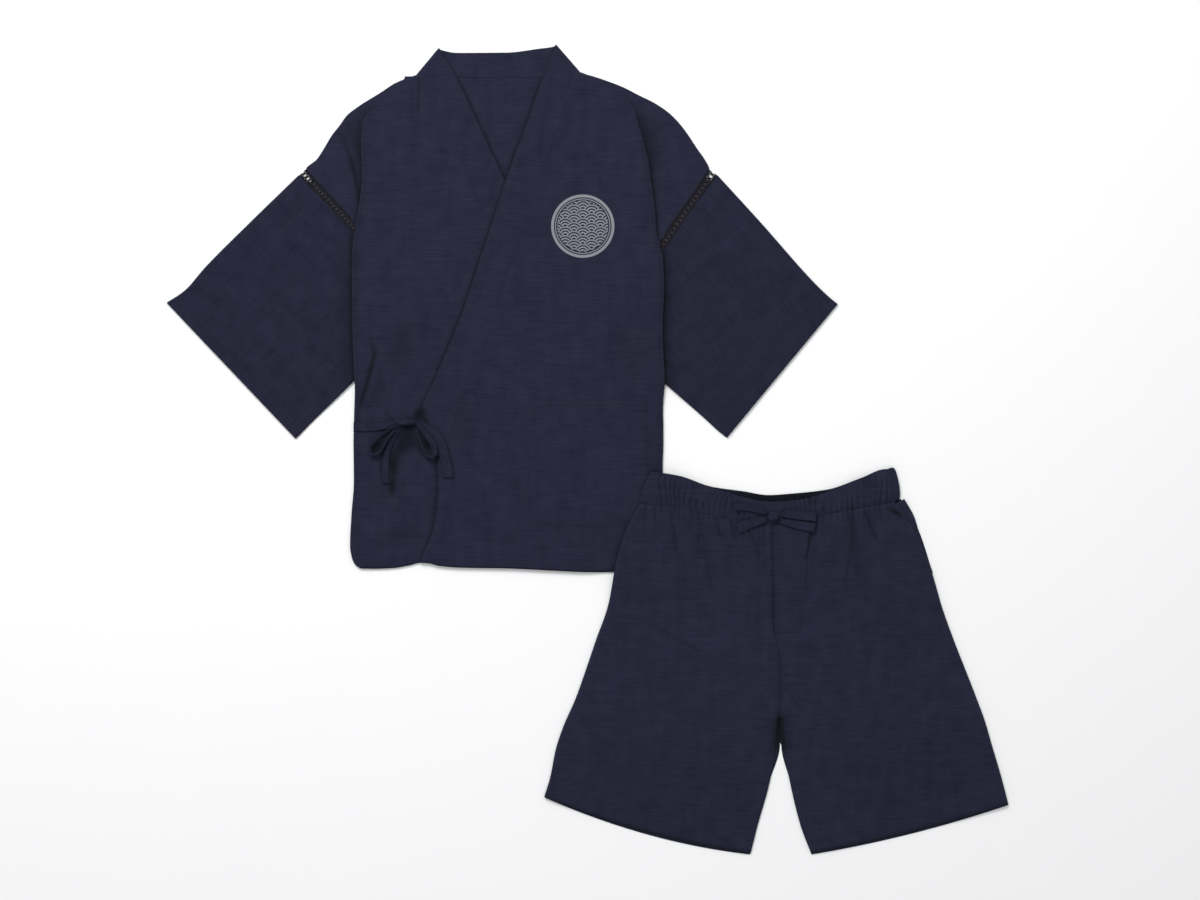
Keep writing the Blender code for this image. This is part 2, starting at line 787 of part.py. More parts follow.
def back_panel():
    """The back body, flat on the surface."""
    inset = 0.8
    sections = []
    heights = sorted({row.y for row in RIGHT_FRONT} | {row.y for row in LEFT_FRONT})
    for y in [height for height in heights if height not in (6, 9, 16) and height < BACK_TOP] + [BACK_TOP]:
        left = read(RIGHT_FRONT, y).edge
        right = read(LEFT_FRONT, y).edge
        if y < 490:
            left = max(left, -216.0 if y > 264 else left) + inset
        if y < 466:
            right = min(right, 226.0 if y > 265 else right) - inset
        places = [left + (right - left) * share for share in (0, 0.25, 0.5, 0.75, 1)]
        sections.append([(x, y + hem_shift(x, y), 0.0) for x in places])
    return wall(add("top_back", grid(sections), navy, top), CLOTH, 1)


def sleeve_floor(x):
    """The sleeve's underside is on the surface outside the body and on the back panel inside."""
    outward = -217 - x if x < 0 else x - 229
    return ON_BACK * (1 - eased((outward - SIDE_CLEAR) / SIDE_LIFT))


def sleeve(name, rows):
    """A sleeve as a pressed tube: flat below, a little air under its upper layer."""
    across = (0.0, 0.012, 0.08, 0.24, 0.42, 0.6, 0.78, 0.93, 0.988, 1.0)
    sections = []
    for step in range(13):
        at = step / 12
        row = read(rows, at)
        upper = Vector((row.upper_x, row.upper_y))
        lower = Vector((row.lower_x, row.lower_y))
        ring = []
        for share in across[1:-1]:
            place = upper.lerp(lower, share)
            ring.append((place.x, place.y, sleeve_floor(place.x)))
        edge = upper.lerp(lower, 1.0)
        ring.append((edge.x, edge.y, sleeve_floor(edge.x) + CLOTH + 0.2))
        for share in reversed(across[1:-1]):
            place = upper.lerp(lower, share)
            out = 1 - sleeve_floor(place.x) / ON_BACK
            middle = 0.35 + 0.65 * math.sin(math.pi * at)
            puff = 0.4 + 1.9 * out * middle * math.sin(math.pi * share) ** 0.5
            ring.append((place.x, place.y, sleeve_floor(place.x) + 2 * CLOTH + puff))
        edge = upper.lerp(lower, 0.0)
        ring.append((edge.x, edge.y, sleeve_floor(edge.x) + CLOTH + 0.2))
        sections.append(ring + [ring[0]])
    bm = grid(sections, closed=True)
    bmesh.ops.recalc_face_normals(bm, faces=bm.faces)
    return wall(add(name, bm, navy, top), CLOTH, -1)


def strip(rows, across, crown=0.0):
    """Grid rows of a strip, from its free edge to its seam edge."""
    sections = []
    for row in rows:
        free = Vector((row[0], row[1], row[4]))
        seam = Vector((row[2], row[3], row[4]))
        section = []
        for share in across:
            place = free.lerp(seam, share)
            place.z += crown * math.sin(math.pi * share)
            section.append(place)
        sections.append(section)
    return sections


def collar():
    rows = along(COLLAR, 26)
    return wall(add("top_collar", grid(strip(rows, (0, 0.25, 0.75, 1))), ink, top), DOUBLED, 0)


def openwork(name, start, end, floor):
    """A ladder band along an armhole, cut through between its rungs."""
    run = Vector((end[0] - start[0], end[1] - start[1]))
    half = Vector((run.y, -run.x)).normalized() * (LACE_WIDTH / 2)
    sections = []
    for step in range(LACE_COUNT + 1):
        middle = Vector(start) + run * (step / LACE_COUNT)
        ends = (middle - half, middle + half)
        sections.append([(place.x, place.y, floor(place.x)) for place in sorted(ends, key=lambda p: p.x)])
    if run.y < 0:
        sections.reverse()
    bm = grid(sections)
    made = bmesh.ops.inset_individual(bm, faces=bm.faces, thickness=LACE_RAIL / 2 * MM, depth=0)
    rims = set(made["faces"])
    holes = [face for face in bm.faces if face not in rims]
    bmesh.ops.delete(bm, geom=holes, context="FACES")
    return wall(add(name, bm, black, top), CLOTH, 1)


def pocket():
    """The pocket, from the grid points of the front below it."""
    sections = []
    for y in front_heights(LEFT_FRONT):
        if not POCKET_BOTTOM <= y <= POCKET_TOP:
            continue
        row = read(POCKET, y)
        places = (row.left, *sorted(front_columns(read(LEFT_FRONT, y), -1)[6:9]), row.right)
        sections.append([(x, y, left_front_height(x, y) + CLOTH + 1.3 * GAP) for x in places])
    return wall(add("top_pocket", grid(sections), navy, top), CLOTH, 1)


def strap(name, rows, ground, garment, spacing=9, finish=None):
    """A flat strap from a table of its middle line, half width and edge heights."""
    sections = []
    for row in along(rows, spacing):
        low = (row.x - row.across_x, row.y - row.across_y)
        high = (row.x + row.across_x, row.y + row.across_y)
        base = max(ground(*low), ground(*high), ground(row.x, row.y)) + GAP + STRAP / 2
        section = []
        for share in (0, 0.5, 1):
            x = low[0] + (high[0] - low[0]) * share
            y = low[1] + (high[1] - low[1]) * share
            section.append((x, y, base + row.low + (row.high - row.low) * share))
        sections.append(section)
    return wall(add(name, grid(sections), finish or navy, garment), STRAP, 0)


def knot(name, form, base, garment):
    bm = bmesh.new()
    bmesh.ops.create_uvsphere(bm, u_segments=12, v_segments=8, radius=1)
    bmesh.ops.scale(bm, vec=Vector(form["size"]) * MM, verts=bm.verts)
    piece = add(name, bm, navy, garment)
    piece.location = Vector((*form["place"], base + form["size"][2])) * MM
    piece.rotation_euler.z = math.radians(form["turn"])
    return piece


def waist_shift(waist, place):
    """How far a point of a leg's top is moved to lie along the waistband's seam."""
    return read(waist, place.x).y - 1.5 * GAP - place.y


def leg(name, rows, waist, height, steps=22):
    """A leg panel: sections from the hem up, each from the outside seam inwards."""
    shares = (0.0, 0.01, 0.035, 0.09, 0.18, 0.3, 0.42, 0.54, 0.66, 0.78, 0.88, 0.95, 0.985, 1.0)
    if height is None:
        shares = (0.0, 0.25, 0.5, 0.75, 1.0)
    top_side = Vector((rows[-1].side_x, rows[-1].side_y))
    top_inner = Vector((rows[-1].inner_x, rows[-1].inner_y))
    sections = []
    for step in range(steps + 1):
        row = read(rows, step / steps)
        side, inner = Vector((row.side_x, row.side_y)), Vector((row.inner_x, row.inner_y))
        if inner.y >= CROTCH:
            inner.x = read(CENTRE_SEAM, inner.y).x + (GAP if side.x > 0 else -GAP)
        width = (side - inner).length
        drawn = eased((step / steps - 1 + WAIST_SHARE) / WAIST_SHARE)
        section = []
        for share in shares:
            place = side.lerp(inner, share)
            place.y -= row.bow * 4 * share * (1 - share)
            place.y += drawn * waist_shift(waist, top_side.lerp(top_inner, share))
            if height is None:
                z = shorts_lift(place.x, place.y)
            else:
                z = height(place.x, place.y, width * share, width * (1 - share))
            section.append((place.x, place.y, z))
        sections.append(section if side.x < inner.x else section[::-1])
    return wall(add(name, grid(sections), navy, shorts), CLOTH, 1)


def pocket_facing():
    sections = []
    for step in range(9):
        row = read(POCKET_FACING, step / 8)
        section = []
        for share in (1.0, 0.6, 0.25, 0.06, 0.0):
            x = row.side_x + (row.inner_x - row.side_x) * share
            y = row.side_y + (row.inner_y - row.side_y) * share
            section.append((x, y, ON_BACK + 0.6 * eased(share * 4) * step / 8))
        sections.append(section)
    return wall(add("shorts_pocket_facing", grid(sections), ink, shorts), CLOTH * 0.85, 1)


def waistband():
    """One flattened ring, its front gathered all along."""
    front_rows = along(BAND_FRONT, 370 / (GATHERS * 3))
    width = BAND_FRONT[-1].top_x - BAND_FRONT[0].top_x
    rows = []
    for row in front_rows:
        share = (row.top_x - BAND_FRONT[0].top_x) / width
        ripple = math.cos(2 * math.pi * GATHERS * share) * eased(share * 12) * eased((1 - share) * 12)
        rows.append((row, GATHER_HEIGHT * ripple, 0.7 * ripple))
    rows += [(row, 0.0, 0.0) for row in along(BAND_BACK, 40)]
    sections = []
    for share in (0.0, 0.5, 1.0):
        section = []
        for row, ripple, ruffle in rows:
            x = row.low_x + (row.top_x - row.low_x) * share
            y = row.low_y + (row.top_y - row.low_y) * share + ruffle * max(0.0, 2 * share - 1)
            bulge = 0.7 * math.sin(math.pi * share) if row.z > 4 else 0.0
            section.append((x, y, shorts_lift(x, y) + row.z + ripple + bulge))
        sections.append(section + [section[0]])
    bm = grid(sections, closed=True)
    bmesh.ops.recalc_face_normals(bm, faces=bm.faces)
    return wall(add("shorts_waistband", bm, navy, shorts), BAND, 0)


def fly():
    sections = []
    for step in range(9):
        y = FLY[0].y + (FLY[-1].y - FLY[0].y) * step / 8
        row = read(FLY, y)
        section = []
        for share in (0, 0.2, 0.5, 0.8, 1):
            x = row.left + (row.right - row.left) * share
            side = 240 - x
            section.append((x, y, leg_height(x, y, side, max(x - row.left, 0) + 2) + CLOTH + 3 * GAP))
        sections.append(section)
    return wall(add("shorts_fly", grid(sections), navy, shorts), CLOTH, 1)


def band_face(x, y):
    """Upper face of the shorts around the drawstring: the waistband, or the cloth below it."""
    row = read(BAND_MIDDLE, x)
    below = leg_height(x, min(y, row.low_y), 200, 20) + CLOTH + (CLOTH + 3 * GAP if x > -8 else 0)
    band = row.z + BAND / 2 + GATHER_HEIGHT + 0.5
    return max(below, band * eased((y - row.low_y + 12) / 12))


def string_ground(x, y):
    return max(band_face(x, y + step) for step in (-4, 0, 4))


for old in list(bpy.data.objects):
    bpy.data.objects.remove(old, do_unlink=True)

jinbei = bpy.data.collections.new("jinbei_set")
bpy.context.scene.collection.children.link(jinbei)
navy = material("navy_cotton", NAVY, 0.92)
ink = material("navy_cotton_doubled", INK_NAVY, 0.92)
black = material("black_thread", BLACK_THREAD, 0.85)
top = empty("top", TOP_PLACE)
shorts = empty("shorts", SHORTS_PLACE)

back_panel()
front("top_front_right", RIGHT_FRONT, right_front_height, 1)
front("top_front_left", LEFT_FRONT, left_front_height, -1)
collar()
sleeve("top_sleeve_right", SLEEVE_RIGHT)
sleeve("top_sleeve_left", SLEEVE_LEFT)
for layer, rise in (("back", 0.0), ("front", ON_BACK)):
    openwork(f"top_openwork_right_{layer}", (-291.9, 569.9), (-213.5, 485.4),
             lambda x, rise=rise: sleeve_floor(x) + rise)
    openwork(f"top_openwork_left_{layer}", (300.1, 569.9), (224.4, 461.5),
             lambda x, rise=rise: sleeve_floor(x) + rise)
pocket()
strap("tie_side", SIDE_TIE, top_surface, top)
strap("tie_loop_right", LOOP_RIGHT, top_surface, top)
strap("tie_loop_left", LOOP_LEFT, top_surface, top)
strap("tie_end_right", TAIL_RIGHT, top_surface, top)
strap("tie_end_left", TAIL_LEFT, top_surface, top)
knot("tie_knot", KNOT, 4.4, top)

leg("shorts_back_right", BACK_RIGHT_LEG, BACK_WAIST, None, 14)
leg("shorts_back_left", BACK_LEFT_LEG, BACK_WAIST, None, 14)
leg("shorts_front_right", FRONT_RIGHT_LEG, FRONT_WAIST, leg_height)
leg("shorts_front_left", FRONT_LEFT_LEG, FRONT_WAIST, leg_height)
pocket_facing()
waistband()
fly()
strap("drawstring_loop_right", STRING_LOOP_RIGHT, string_ground, shorts)
strap("drawstring_loop_left", STRING_LOOP_LEFT, string_ground, shorts)
strap("drawstring_end_right", STRING_TAIL_RIGHT, string_ground, shorts)
strap("drawstring_end_left", STRING_TAIL_LEFT, string_ground, shorts)
knot("drawstring_knot", STRING_KNOT, STRING_BASE, shorts)
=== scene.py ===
# A jinbei set laid flat: cloth, lace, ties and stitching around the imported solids.
# Lengths are millimetres in each garment's own frame; the meshes are in metres.
import math

import bmesh
import bpy
import numpy as np
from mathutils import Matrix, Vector
from mathutils.bvhtree import BVHTree


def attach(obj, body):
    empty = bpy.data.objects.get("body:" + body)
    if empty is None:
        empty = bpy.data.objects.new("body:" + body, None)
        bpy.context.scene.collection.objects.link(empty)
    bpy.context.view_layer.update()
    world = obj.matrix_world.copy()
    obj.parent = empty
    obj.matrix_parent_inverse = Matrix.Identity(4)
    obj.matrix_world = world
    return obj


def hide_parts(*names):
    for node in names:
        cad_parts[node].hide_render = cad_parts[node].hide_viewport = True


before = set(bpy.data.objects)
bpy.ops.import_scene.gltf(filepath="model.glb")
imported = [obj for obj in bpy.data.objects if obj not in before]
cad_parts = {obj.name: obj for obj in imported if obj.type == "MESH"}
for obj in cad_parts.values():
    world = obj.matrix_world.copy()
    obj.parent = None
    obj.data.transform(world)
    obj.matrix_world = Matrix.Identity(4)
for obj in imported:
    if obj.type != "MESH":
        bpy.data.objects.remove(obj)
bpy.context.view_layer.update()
print("frame loaded:", len(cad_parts), "solids")

mm = 0.001
# where each garment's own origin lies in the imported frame
top = {"place": (-119.0, -170.6)}
shorts = {"place": (270.0, -582.6)}
cloth = {
    "wall": 0.95,  # a layer of cloth
    "rise": 0.12,  # above the solid's underside
    "solid": 1.2,  # the solid's layer
    "gap": 0.3,
    "onBack": 1.5,  # underside of a layer that lies on the back panel
}


# curves, fields and creases


def smooth(t):
    t = np.clip(t, 0.0, 1.0)
    return t * t * (3 - 2 * t)


def through(xs, ys):
    # a smooth curve through the points that never overshoots them
    xs, ys = np.array(xs, float), np.array(ys, float)
    width, step = np.diff(xs), np.diff(ys) / np.diff(xs)
    slope = np.zeros(len(xs))
    slope[0], slope[-1] = step[0], step[-1]
    same = step[:-1] * step[1:] > 0
    slope[1:-1][same] = 2 * step[:-1][same] * step[1:][same] / (step[:-1] + step[1:])[same]

    def value(x):
        x = np.clip(np.asarray(x, float), xs[0], xs[-1])
        i = np.clip(np.searchsorted(xs, x, side="right") - 1, 0, len(width) - 1)
        t = (x - xs[i]) / width[i]
        return (
            (1 + 2 * t) * (1 - t) ** 2 * ys[i]
            + t * (1 - t) ** 2 * slope[i] * width[i]
            + t * t * (3 - 2 * t) * ys[i + 1]
            - t * t * (1 - t) * slope[i + 1] * width[i]
        )

    return value


def columns(names, rows):
    # one curve for each named column, read by the first one
    values = np.array(rows, float)
    return {name: through(values[:, 0], values[:, k]) for k, name in enumerate(names.split()) if k}


def drift(x, y, size, seed):
    # a soft random field from -1 to 1, one swell for each size in millimetres
    across, along = size if isinstance(size, tuple) else (size, size)
    gx, gy = x / across + seed * 7.31, y / along + seed * 3.17
    ix, iy = np.floor(gx).astype(np.int64), np.floor(gy).astype(np.int64)
    u, v = smooth(gx - ix), smooth(gy - iy)

    def corner(cx, cy):
        n = (cx * 374761393 + cy * 668265263 + seed * 974711) & 0xFFFFFFFF
        n = ((n ^ (n >> 13)) * 1274126177) & 0xFFFFFFFF
        return ((n ^ (n >> 16)) & 0xFFFF) / 32767.5 - 1

    low = corner(ix, iy) * (1 - u) + corner(ix + 1, iy) * u
    high = corner(ix, iy + 1) * (1 - u) + corner(ix + 1, iy + 1) * u
    return low * (1 - v) + high * v


def traced(x, y, path):
    # distance to a path, the signed distance beside it and how far along it
    nearest = np.full(np.broadcast(x, y).shape, 1e9)
    aside, run, done = np.zeros(nearest.shape), np.zeros(nearest.shape), 0.0
    for (x1, y1), (x2, y2) in zip(path, path[1:]):
        length = math.hypot(x2 - x1, y2 - y1)
        ux, uy = (x2 - x1) / length, (y2 - y1) / length
        share = (x - x1) * ux + (y - y1) * uy
        held = np.clip(share, 0, length)
        gap = np.hypot(x - x1 - held * ux, y - y1 - held * uy)
        closer = gap < nearest
        nearest = np.where(closer, gap, nearest)
        aside = np.where(closer, (y - y1) * ux - (x - x1) * uy, aside)
        run = np.where(closer, done + share, run)
        done += length
    fade = smooth(run / (0.3 * done) + 0.35) * smooth((done - run) / (0.3 * done) + 0.35)
    return nearest, aside, fade


def creased(x, y, rows):
    # soft uneven ridges (height above 0) and troughs: path, width, height, and a lip
    # that lifts the cloth beside the crease, on its left going along the path
    total = np.zeros(np.broadcast(x, y).shape)
    for seed, (path, width, height, lip) in enumerate(rows):
        nearest, aside, fade = traced(x, y, path)
        broad = width * (1 + 0.3 * drift(x, y, 34, seed + 3))
        deep = height * (1 + 0.35 * drift(x, y, 41, seed + 11)) * fade
        total = total + deep * np.exp(-((nearest / broad) ** 2))
        if lip:
            total = total + lip * fade * np.exp(-(((aside - 1.9 * width) / (1.5 * width)) ** 2)) * np.exp(
                -(np.maximum(nearest - abs(aside), 0) / (2 * width)) ** 2)
    return total


def creaseShade(x, y, rows):
    # the painted shade in troughs, 0 to 1: how deep in a trough the cloth is, as little light reaches down
    # there
    total = np.zeros(np.broadcast(x, y).shape)
    for seed, (path, width, height, lip) in enumerate(rows):
        if height < 0:
            nearest, aside, fade = traced(x, y, path)
            broad = 0.75 * width * (1 + 0.3 * drift(x, y, 34, seed + 3))
            steep = min(max((-height / width - 0.12) / 0.45, 0.0), 1.0)
            total = total + steep * fade * np.exp(-((nearest / broad) ** 2))
    return np.minimum(total, 1.0)


def shaded(x, y, patches):
    # the painted shade that a list of oval patches lays on the cloth, 0 to 1
    total = np.zeros(np.broadcast(x, y).shape)
    for mx, my, across, along, turn, depth in patches:
        c, s = math.cos(math.radians(turn)), math.sin(math.radians(turn))
        u = ((x - mx) * c + (y - my) * s) / across
        v = ((y - my) * c - (x - mx) * s) / along
        total = total + depth * np.exp(-((u * u + v * v) ** 1.5))
    return np.minimum(total, 1.0)


def beside(x, y, path, reach, depth):
    # the shade along an edge that lies over this cloth
    return depth * np.exp(-((traced(x, y, path)[0] / reach) ** 2))


def deepest(*shades):
    light = 1.0
    for shade in shades:
        light = light * (1 - np.clip(shade, 0, 1))
    return 1 - light


# the collar's two free edges, and other edges that lie over cloth
freeEdges = {
    "over": [(71, 751), (53, 703), (31, 642), (0, 556), (-32, 459), (-65, 361), (-102, 271), (-119, 233),
             (-112, 200), (-103, 177), (-99, 162), (-97.5, 118), (-104, 59), (-112, 32), (-122, 2)],
    "under": [(-93, 746), (-66, 701), (-40, 645), (0, 559), (16, 525)],
}
# soft oval patches of shade: middle, half sizes, turn in degrees, depth
bowShade = {
    "under": [
        (-141, 190, 13, 25, 0, 0.76),
        (-184, 174, 9, 11, -38, 0.85),
        (-160.5, 144, 6.5, 25, 2, 0.8),
        (-162.6, 116, 5.5, 11, 0, 0.85),
        (-213, 224, 5, 28, 0, 0.42),
    ],
    "both": [
        (-124, 221, 7.5, 12, -24, 1.0),
        (-178.5, 142, 2.8, 19, 0, 0.45),
        (-121, 178, 7, 15, 14, 0.6),
        (-112, 178, 6, 14, 18, 0.8),
        (-98, 160, 4, 5, 0, 0.25),
    ],
}
bodyShade = [
    (-147, 322, 15, 36, -20, 0.17),
    (-180, 252, 15, 26, 0, 0.14),
    (-172, 112, 30, 13, 8, 0.13),
    (-150, 46, 44, 14, 0, 0.09),
    (190, 318, 34, 40, 0, 0.13),
    (120, 140, 110, 100, 0, 0.07),
    (-62, 212, 18, 40, -14, 0.12),
    (190, 120, 30, 90, 0, 0.08),
    (42, 585, 6, 62, -22, 0.12),
]
edges = {
    "bow": [(-140, 200), (-148, 184), (-156, 164), (-160, 146)],
    "tuck": [(-234, 626), (-226, 600), (-216.9, 569), (-208.8, 529)],
    "tail": [(-116, 212), (-102.5, 202), (-90, 189), (-83, 173), (-78.3, 156), (-75, 141), (-73.8, 129)],
    "shorts": [(217, 140), (211, 138), (195.5, 91), (186, 76), (176.5, 58), (167, 33), (159, 2)],
}


def puckered(x, y, seed, much=1.0):
    # what pressed cotton keeps even where it lies flat
    swells = 0.20 * drift(x, y, 46, seed) + 0.12 * drift(x, y, (30, 13), seed + 1)
    return much * (swells + 0.05 * drift(x, y, (22, 5), seed + 2))


# meshes


def sheetMesh(xs, ys, zs, garment, closed=False, paintedShade=0.0):
    # a grid laid through rows of points, with the painted shade (0 to 1) stored on each point
    xs, ys, zs, paintedShade = np.broadcast_arrays(xs, ys, zs, paintedShade)
    rows, count = xs.shape
    bm = bmesh.new()
    bmesh.ops.create_grid(bm, x_segments=count - 1, y_segments=rows - 1, size=1)
    mesh = bpy.data.meshes.new("laid")
    bm.to_mesh(mesh)
    bm.free()
    flat = np.zeros(len(mesh.vertices) * 3)
    mesh.vertices.foreach_get("co", flat)
    flat = flat.reshape(-1, 3)
    column = np.rint((flat[:, 0] + 1) / 2 * (count - 1)).astype(int)
    row = np.rint((flat[:, 1] + 1) / 2 * (rows - 1)).astype(int)
    px, py = garment["place"]
    flat[:, 0], flat[:, 1], flat[:, 2] = xs[row, column] + px, ys[row, column] + py, zs[row, column]
    mesh.vertices.foreach_set("co", (flat * mm).ravel())
    # painted shade: how much each point's colour is darkened to stand in for shade
    shade = mesh.attributes.new("paintedShade", "FLOAT", "POINT")
    shade.data.foreach_set("value", paintedShade[row, column].astype(np.float32))
    if closed:
        bm = bmesh.new()
        bm.from_mesh(mesh)
        bmesh.ops.remove_doubles(bm, verts=bm.verts, dist=1e-7)
        bmesh.ops.recalc_face_normals(bm, faces=bm.faces)
        bm.to_mesh(mesh)
        bm.free()
    return mesh


pieces = {}


def piece(name, mesh, finish, node=None, wall=None, offset=1.0, rim=None):
    # a finished piece at the origin; rim thins the wall at the edges so that they look folded
    mesh.name = name
    mesh.materials.append(finish)
    mesh.shade_smooth()
    made = bpy.data.objects.new(name, mesh)
    bpy.context.scene.collection.objects.link(made)
    if wall:
        solid = made.modifiers.new("wall", "SOLIDIFY")
        solid.thickness = wall * mm
        solid.offset = offset
        if rim is not None:
            group = made.vertex_groups.new(name="rim")
            bm = bmesh.new()
            bm.from_mesh(mesh)
            edge = [v.index for v in bm.verts if v.is_boundary]
            rest = [v.index for v in bm.verts if not v.is_boundary]
            bm.free()
            group.add(edge, rim, "REPLACE")
            group.add(rest, 1.0, "REPLACE")
            solid.vertex_group = "rim"
    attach(made, "root")
    if node:
        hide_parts(node)
    pieces[name] = made
    return made


def joined(meshes):
    bm = bmesh.new()
    for mesh in meshes:
        bm.from_mesh(mesh)
        bpy.data.meshes.remove(mesh)
    mesh = bpy.data.meshes.new("joined")
    bm.to_mesh(mesh)
    bm.free()
    return mesh


def tube(points, radius, garment, sides=6):
    # a round thread through the points, closed at its ends
    points = np.array(points, float)
    ahead = np.gradient(points, axis=0)
    ahead /= np.linalg.norm(ahead, axis=1)[:, None]
    side = np.cross(ahead, (0, 0, 1.0))
    side /= np.linalg.norm(side, axis=1)[:, None]
    up = np.cross(side, ahead)
    around = np.linspace(0, 2 * math.pi, sides + 1)
    size = np.full(len(points), radius, float)
    size[0] = size[-1] = radius * 0.05
    ring = points[:, None, :] + size[:, None, None] * (
        np.cos(around)[None, :, None] * side[:, None, :] + np.sin(around)[None, :, None] * up[:, None, :])
    return sheetMesh(ring[..., 0], ring[..., 1], ring[..., 2], garment, closed=True)


# materials


class Wire:
    def __init__(self, tree, socket):
        self.tree, self.socket = tree, socket

    def maths(self, operation, *values):
        node = self.tree.nodes.new("ShaderNodeMath")
        node.operation = operation
        for place, value in enumerate(values):
            plug(self.tree, node.inputs[place], value)
        return Wire(self.tree, node.outputs[0])

    def __add__(self, other):
        return self.maths("ADD", self, other)

    def __sub__(self, other):
        return self.maths("SUBTRACT", self, other)

    def __mul__(self, other):
        return self.maths("MULTIPLY", self, other)

    def __truediv__(self, other):
        return self.maths("DIVIDE", self, other)

    def __pow__(self, other):
        return self.maths("POWER", self, other)

    def __radd__(self, other):
        return self.maths("ADD", other, self)

    def __rsub__(self, other):
        return self.maths("SUBTRACT", other, self)

    def __rmul__(self, other):
        return self.maths("MULTIPLY", other, self)

    def __lt__(self, other):
        return self.maths("LESS_THAN", self, other)

    def __gt__(self, other):
        return self.maths("GREATER_THAN", self, other)

    def between(self, low, high):
        return (self > low) * (self < high)


def plug(tree, socket, value):
    if isinstance(value, Wire):
        tree.links.new(value.socket, socket)
    else:
        socket.default_value = value


class Finish:
    def __init__(self, name):
        self.material = bpy.data.materials.new(name)
        self.material.use_nodes = True
        self.tree = self.material.node_tree
        self.shader = self.tree.nodes["Principled BSDF"]

    def node(self, kind, settings=None, inputs=None):
        made = self.tree.nodes.new("ShaderNode" + kind)
        for key, value in (settings or {}).items():
            if key == "stops":
                for stop, (place, colour) in zip(made.color_ramp.elements, value):
                    stop.position, stop.color = place, (*colour, 1)
            else:
                setattr(made, key, value)
        for key, value in (inputs or {}).items():
            plug(self.tree, made.inputs[key], value)
        return [Wire(self.tree, socket) for socket in made.outputs]

    def noise(self, place, scale, detail=2.0, rough=0.5):
        spread = self.node("VectorMath", {"operation": "MULTIPLY"}, {0: place, 1: scale})[0]
        inputs = {"Vector": spread, "Scale": 1.0, "Detail": detail, "Roughness": rough}
        return self.node("TexNoise", None, inputs)[0]

    def mix(self, factor, first, second):
        return self.node("Mix", {"data_type": "RGBA"}, {0: factor, 6: first, 7: second})[2]

    def give(self, **sockets):
        for key, value in sockets.items():
            plug(self.tree, self.shader.inputs[key.replace("_", " ")], value)


clothLook = {
    "dark": (0.0120, 0.0132, 0.0297),
    "light": (0.0237, 0.0253, 0.0487),
    "paintedShade": (0.33, 0.40, 0.28),  # painted shade: what is left of the colour deep in a trough
    "roughness": 0.93,
    "sheen": 0.03,
    "specular": 0.08,
    "slub": (21.0, 560.0, 30.0),  # long thin thick-spots along the weft
    "bar": (46.0, 210.0, 20.0),
    "crinkle": (150.0, 420.0, 60.0),
    "yarn": 0.00095,
}


def clothFinish(name, angle=0.0, paintedShadeScale=1.0, printed=None):
    made = Finish(name)
    spot = made.node("TexCoord")[3]
    turned = made.node("Mapping", None, {"Vector": spot, "Rotation": (0, 0, math.radians(angle))})[0]
    bent = made.noise(turned, (22.0, 22.0, 22.0), 1.0)
    sway = made.node("CombineXYZ", None, {0: 0.0, 1: (bent - 0.5) * 0.004, 2: 0.0})[0]
    run = made.node("VectorMath", {"operation": "ADD"}, {0: turned, 1: sway})[0]
    slub = made.noise(run, clothLook["slub"], 2.0, 0.55)
    bar = made.noise(run, clothLook["bar"], 2.0, 0.5)
    crinkle = made.noise(run, clothLook["crinkle"], 2.0, 0.5)
    mottle = made.noise(turned, (46.0, 46.0, 46.0), 2.0)
    # painted shade: long soft patches in the colour stand in for the shade of small folds
    fold = made.noise(turned, (74.0, 17.0, 17.0), 1.0)
    x, y, _ = made.node("SeparateXYZ", None, {"Vector": run})
    pitch = 2 * math.pi / clothLook["yarn"]
    warp = x.maths("SINE", x * pitch)
    weft = y.maths("SINE", y * (pitch * 0.87))
    weave = warp * weft
    tone = 0.5 + (slub - 0.5) * 0.95 + (bar - 0.5) * 0.5 + (crinkle - 0.5) * 0.35 + weave * 0.05
    tone = tone + (mottle - 0.5) * 0.7 + (fold - 0.5) * 0.5
    # painted shade: a copy of the cloth can be made darker as a whole
    colour = made.mix(tone, *(tuple(v * paintedShadeScale for v in clothLook[key]) + (1,) for key in ("dark", "light")))
    if printed is not None:
        mask, ink = printed(made, spot, tone)
        colour = made.mix(mask, colour, ink)
    # painted shade: the colour is darkened as far as the mesh's stored shade says
    paintedShade = made.node("Attribute", {"attribute_name": "paintedShade"})[2]
    shadedColour = made.node("Mix", {"data_type": "RGBA", "blend_type": "MULTIPLY"},
                     {0: 1.0, 6: colour, 7: (*clothLook["paintedShade"], 1)})[2]
    colour = made.mix(paintedShade, colour, shadedColour)
    height = slub * 0.5 + bar * 0.45 + crinkle * 0.55 + weave * 0.10
    bump = made.node("Bump", None, {"Strength": 0.4, "Distance": 0.0004, "Height": height})[0]
    rough = clothLook["roughness"] - (slub - 0.5) * 0.12
    made.give(Base_Color=colour, Roughness=rough, Normal=bump, Metallic=0.0, Sheen_Weight=clothLook["sheen"],
              Sheen_Roughness=0.5, Specular_IOR_Level=clothLook["specular"])
    return made.material


threadLook = {"dark": (0.016, 0.017, 0.038, 1), "light": (0.032, 0.034, 0.066, 1)}


def threadFinish(name, dark, light, twist=900.0):
    made = Finish(name)
    spot = made.node("TexCoord")[3]
    fibre = made.noise(spot, (twist, twist, twist * 0.6), 2.0)
    bump = made.node("Bump", None, {"Strength": 0.4, "Distance": 0.0003, "Height": fibre})[0]
    made.give(Base_Color=made.mix(fibre, dark, light), Roughness=0.85 - (fibre - 0.5) * 0.1, Metallic=0.0,
              Normal=bump, Specular_IOR_Level=0.12)
    return made.material


roundel = {
    "centre": (-0.007, 0.3214),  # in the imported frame, metres
    "ring": (0.0415, 0.0455),
    "inner": (0.0385, 0.0398),
    "field": 0.0368,
    "scale": 0.0126,  # radius of one wave
    "ink": (0.262, 0.268, 0.292, 1),
}


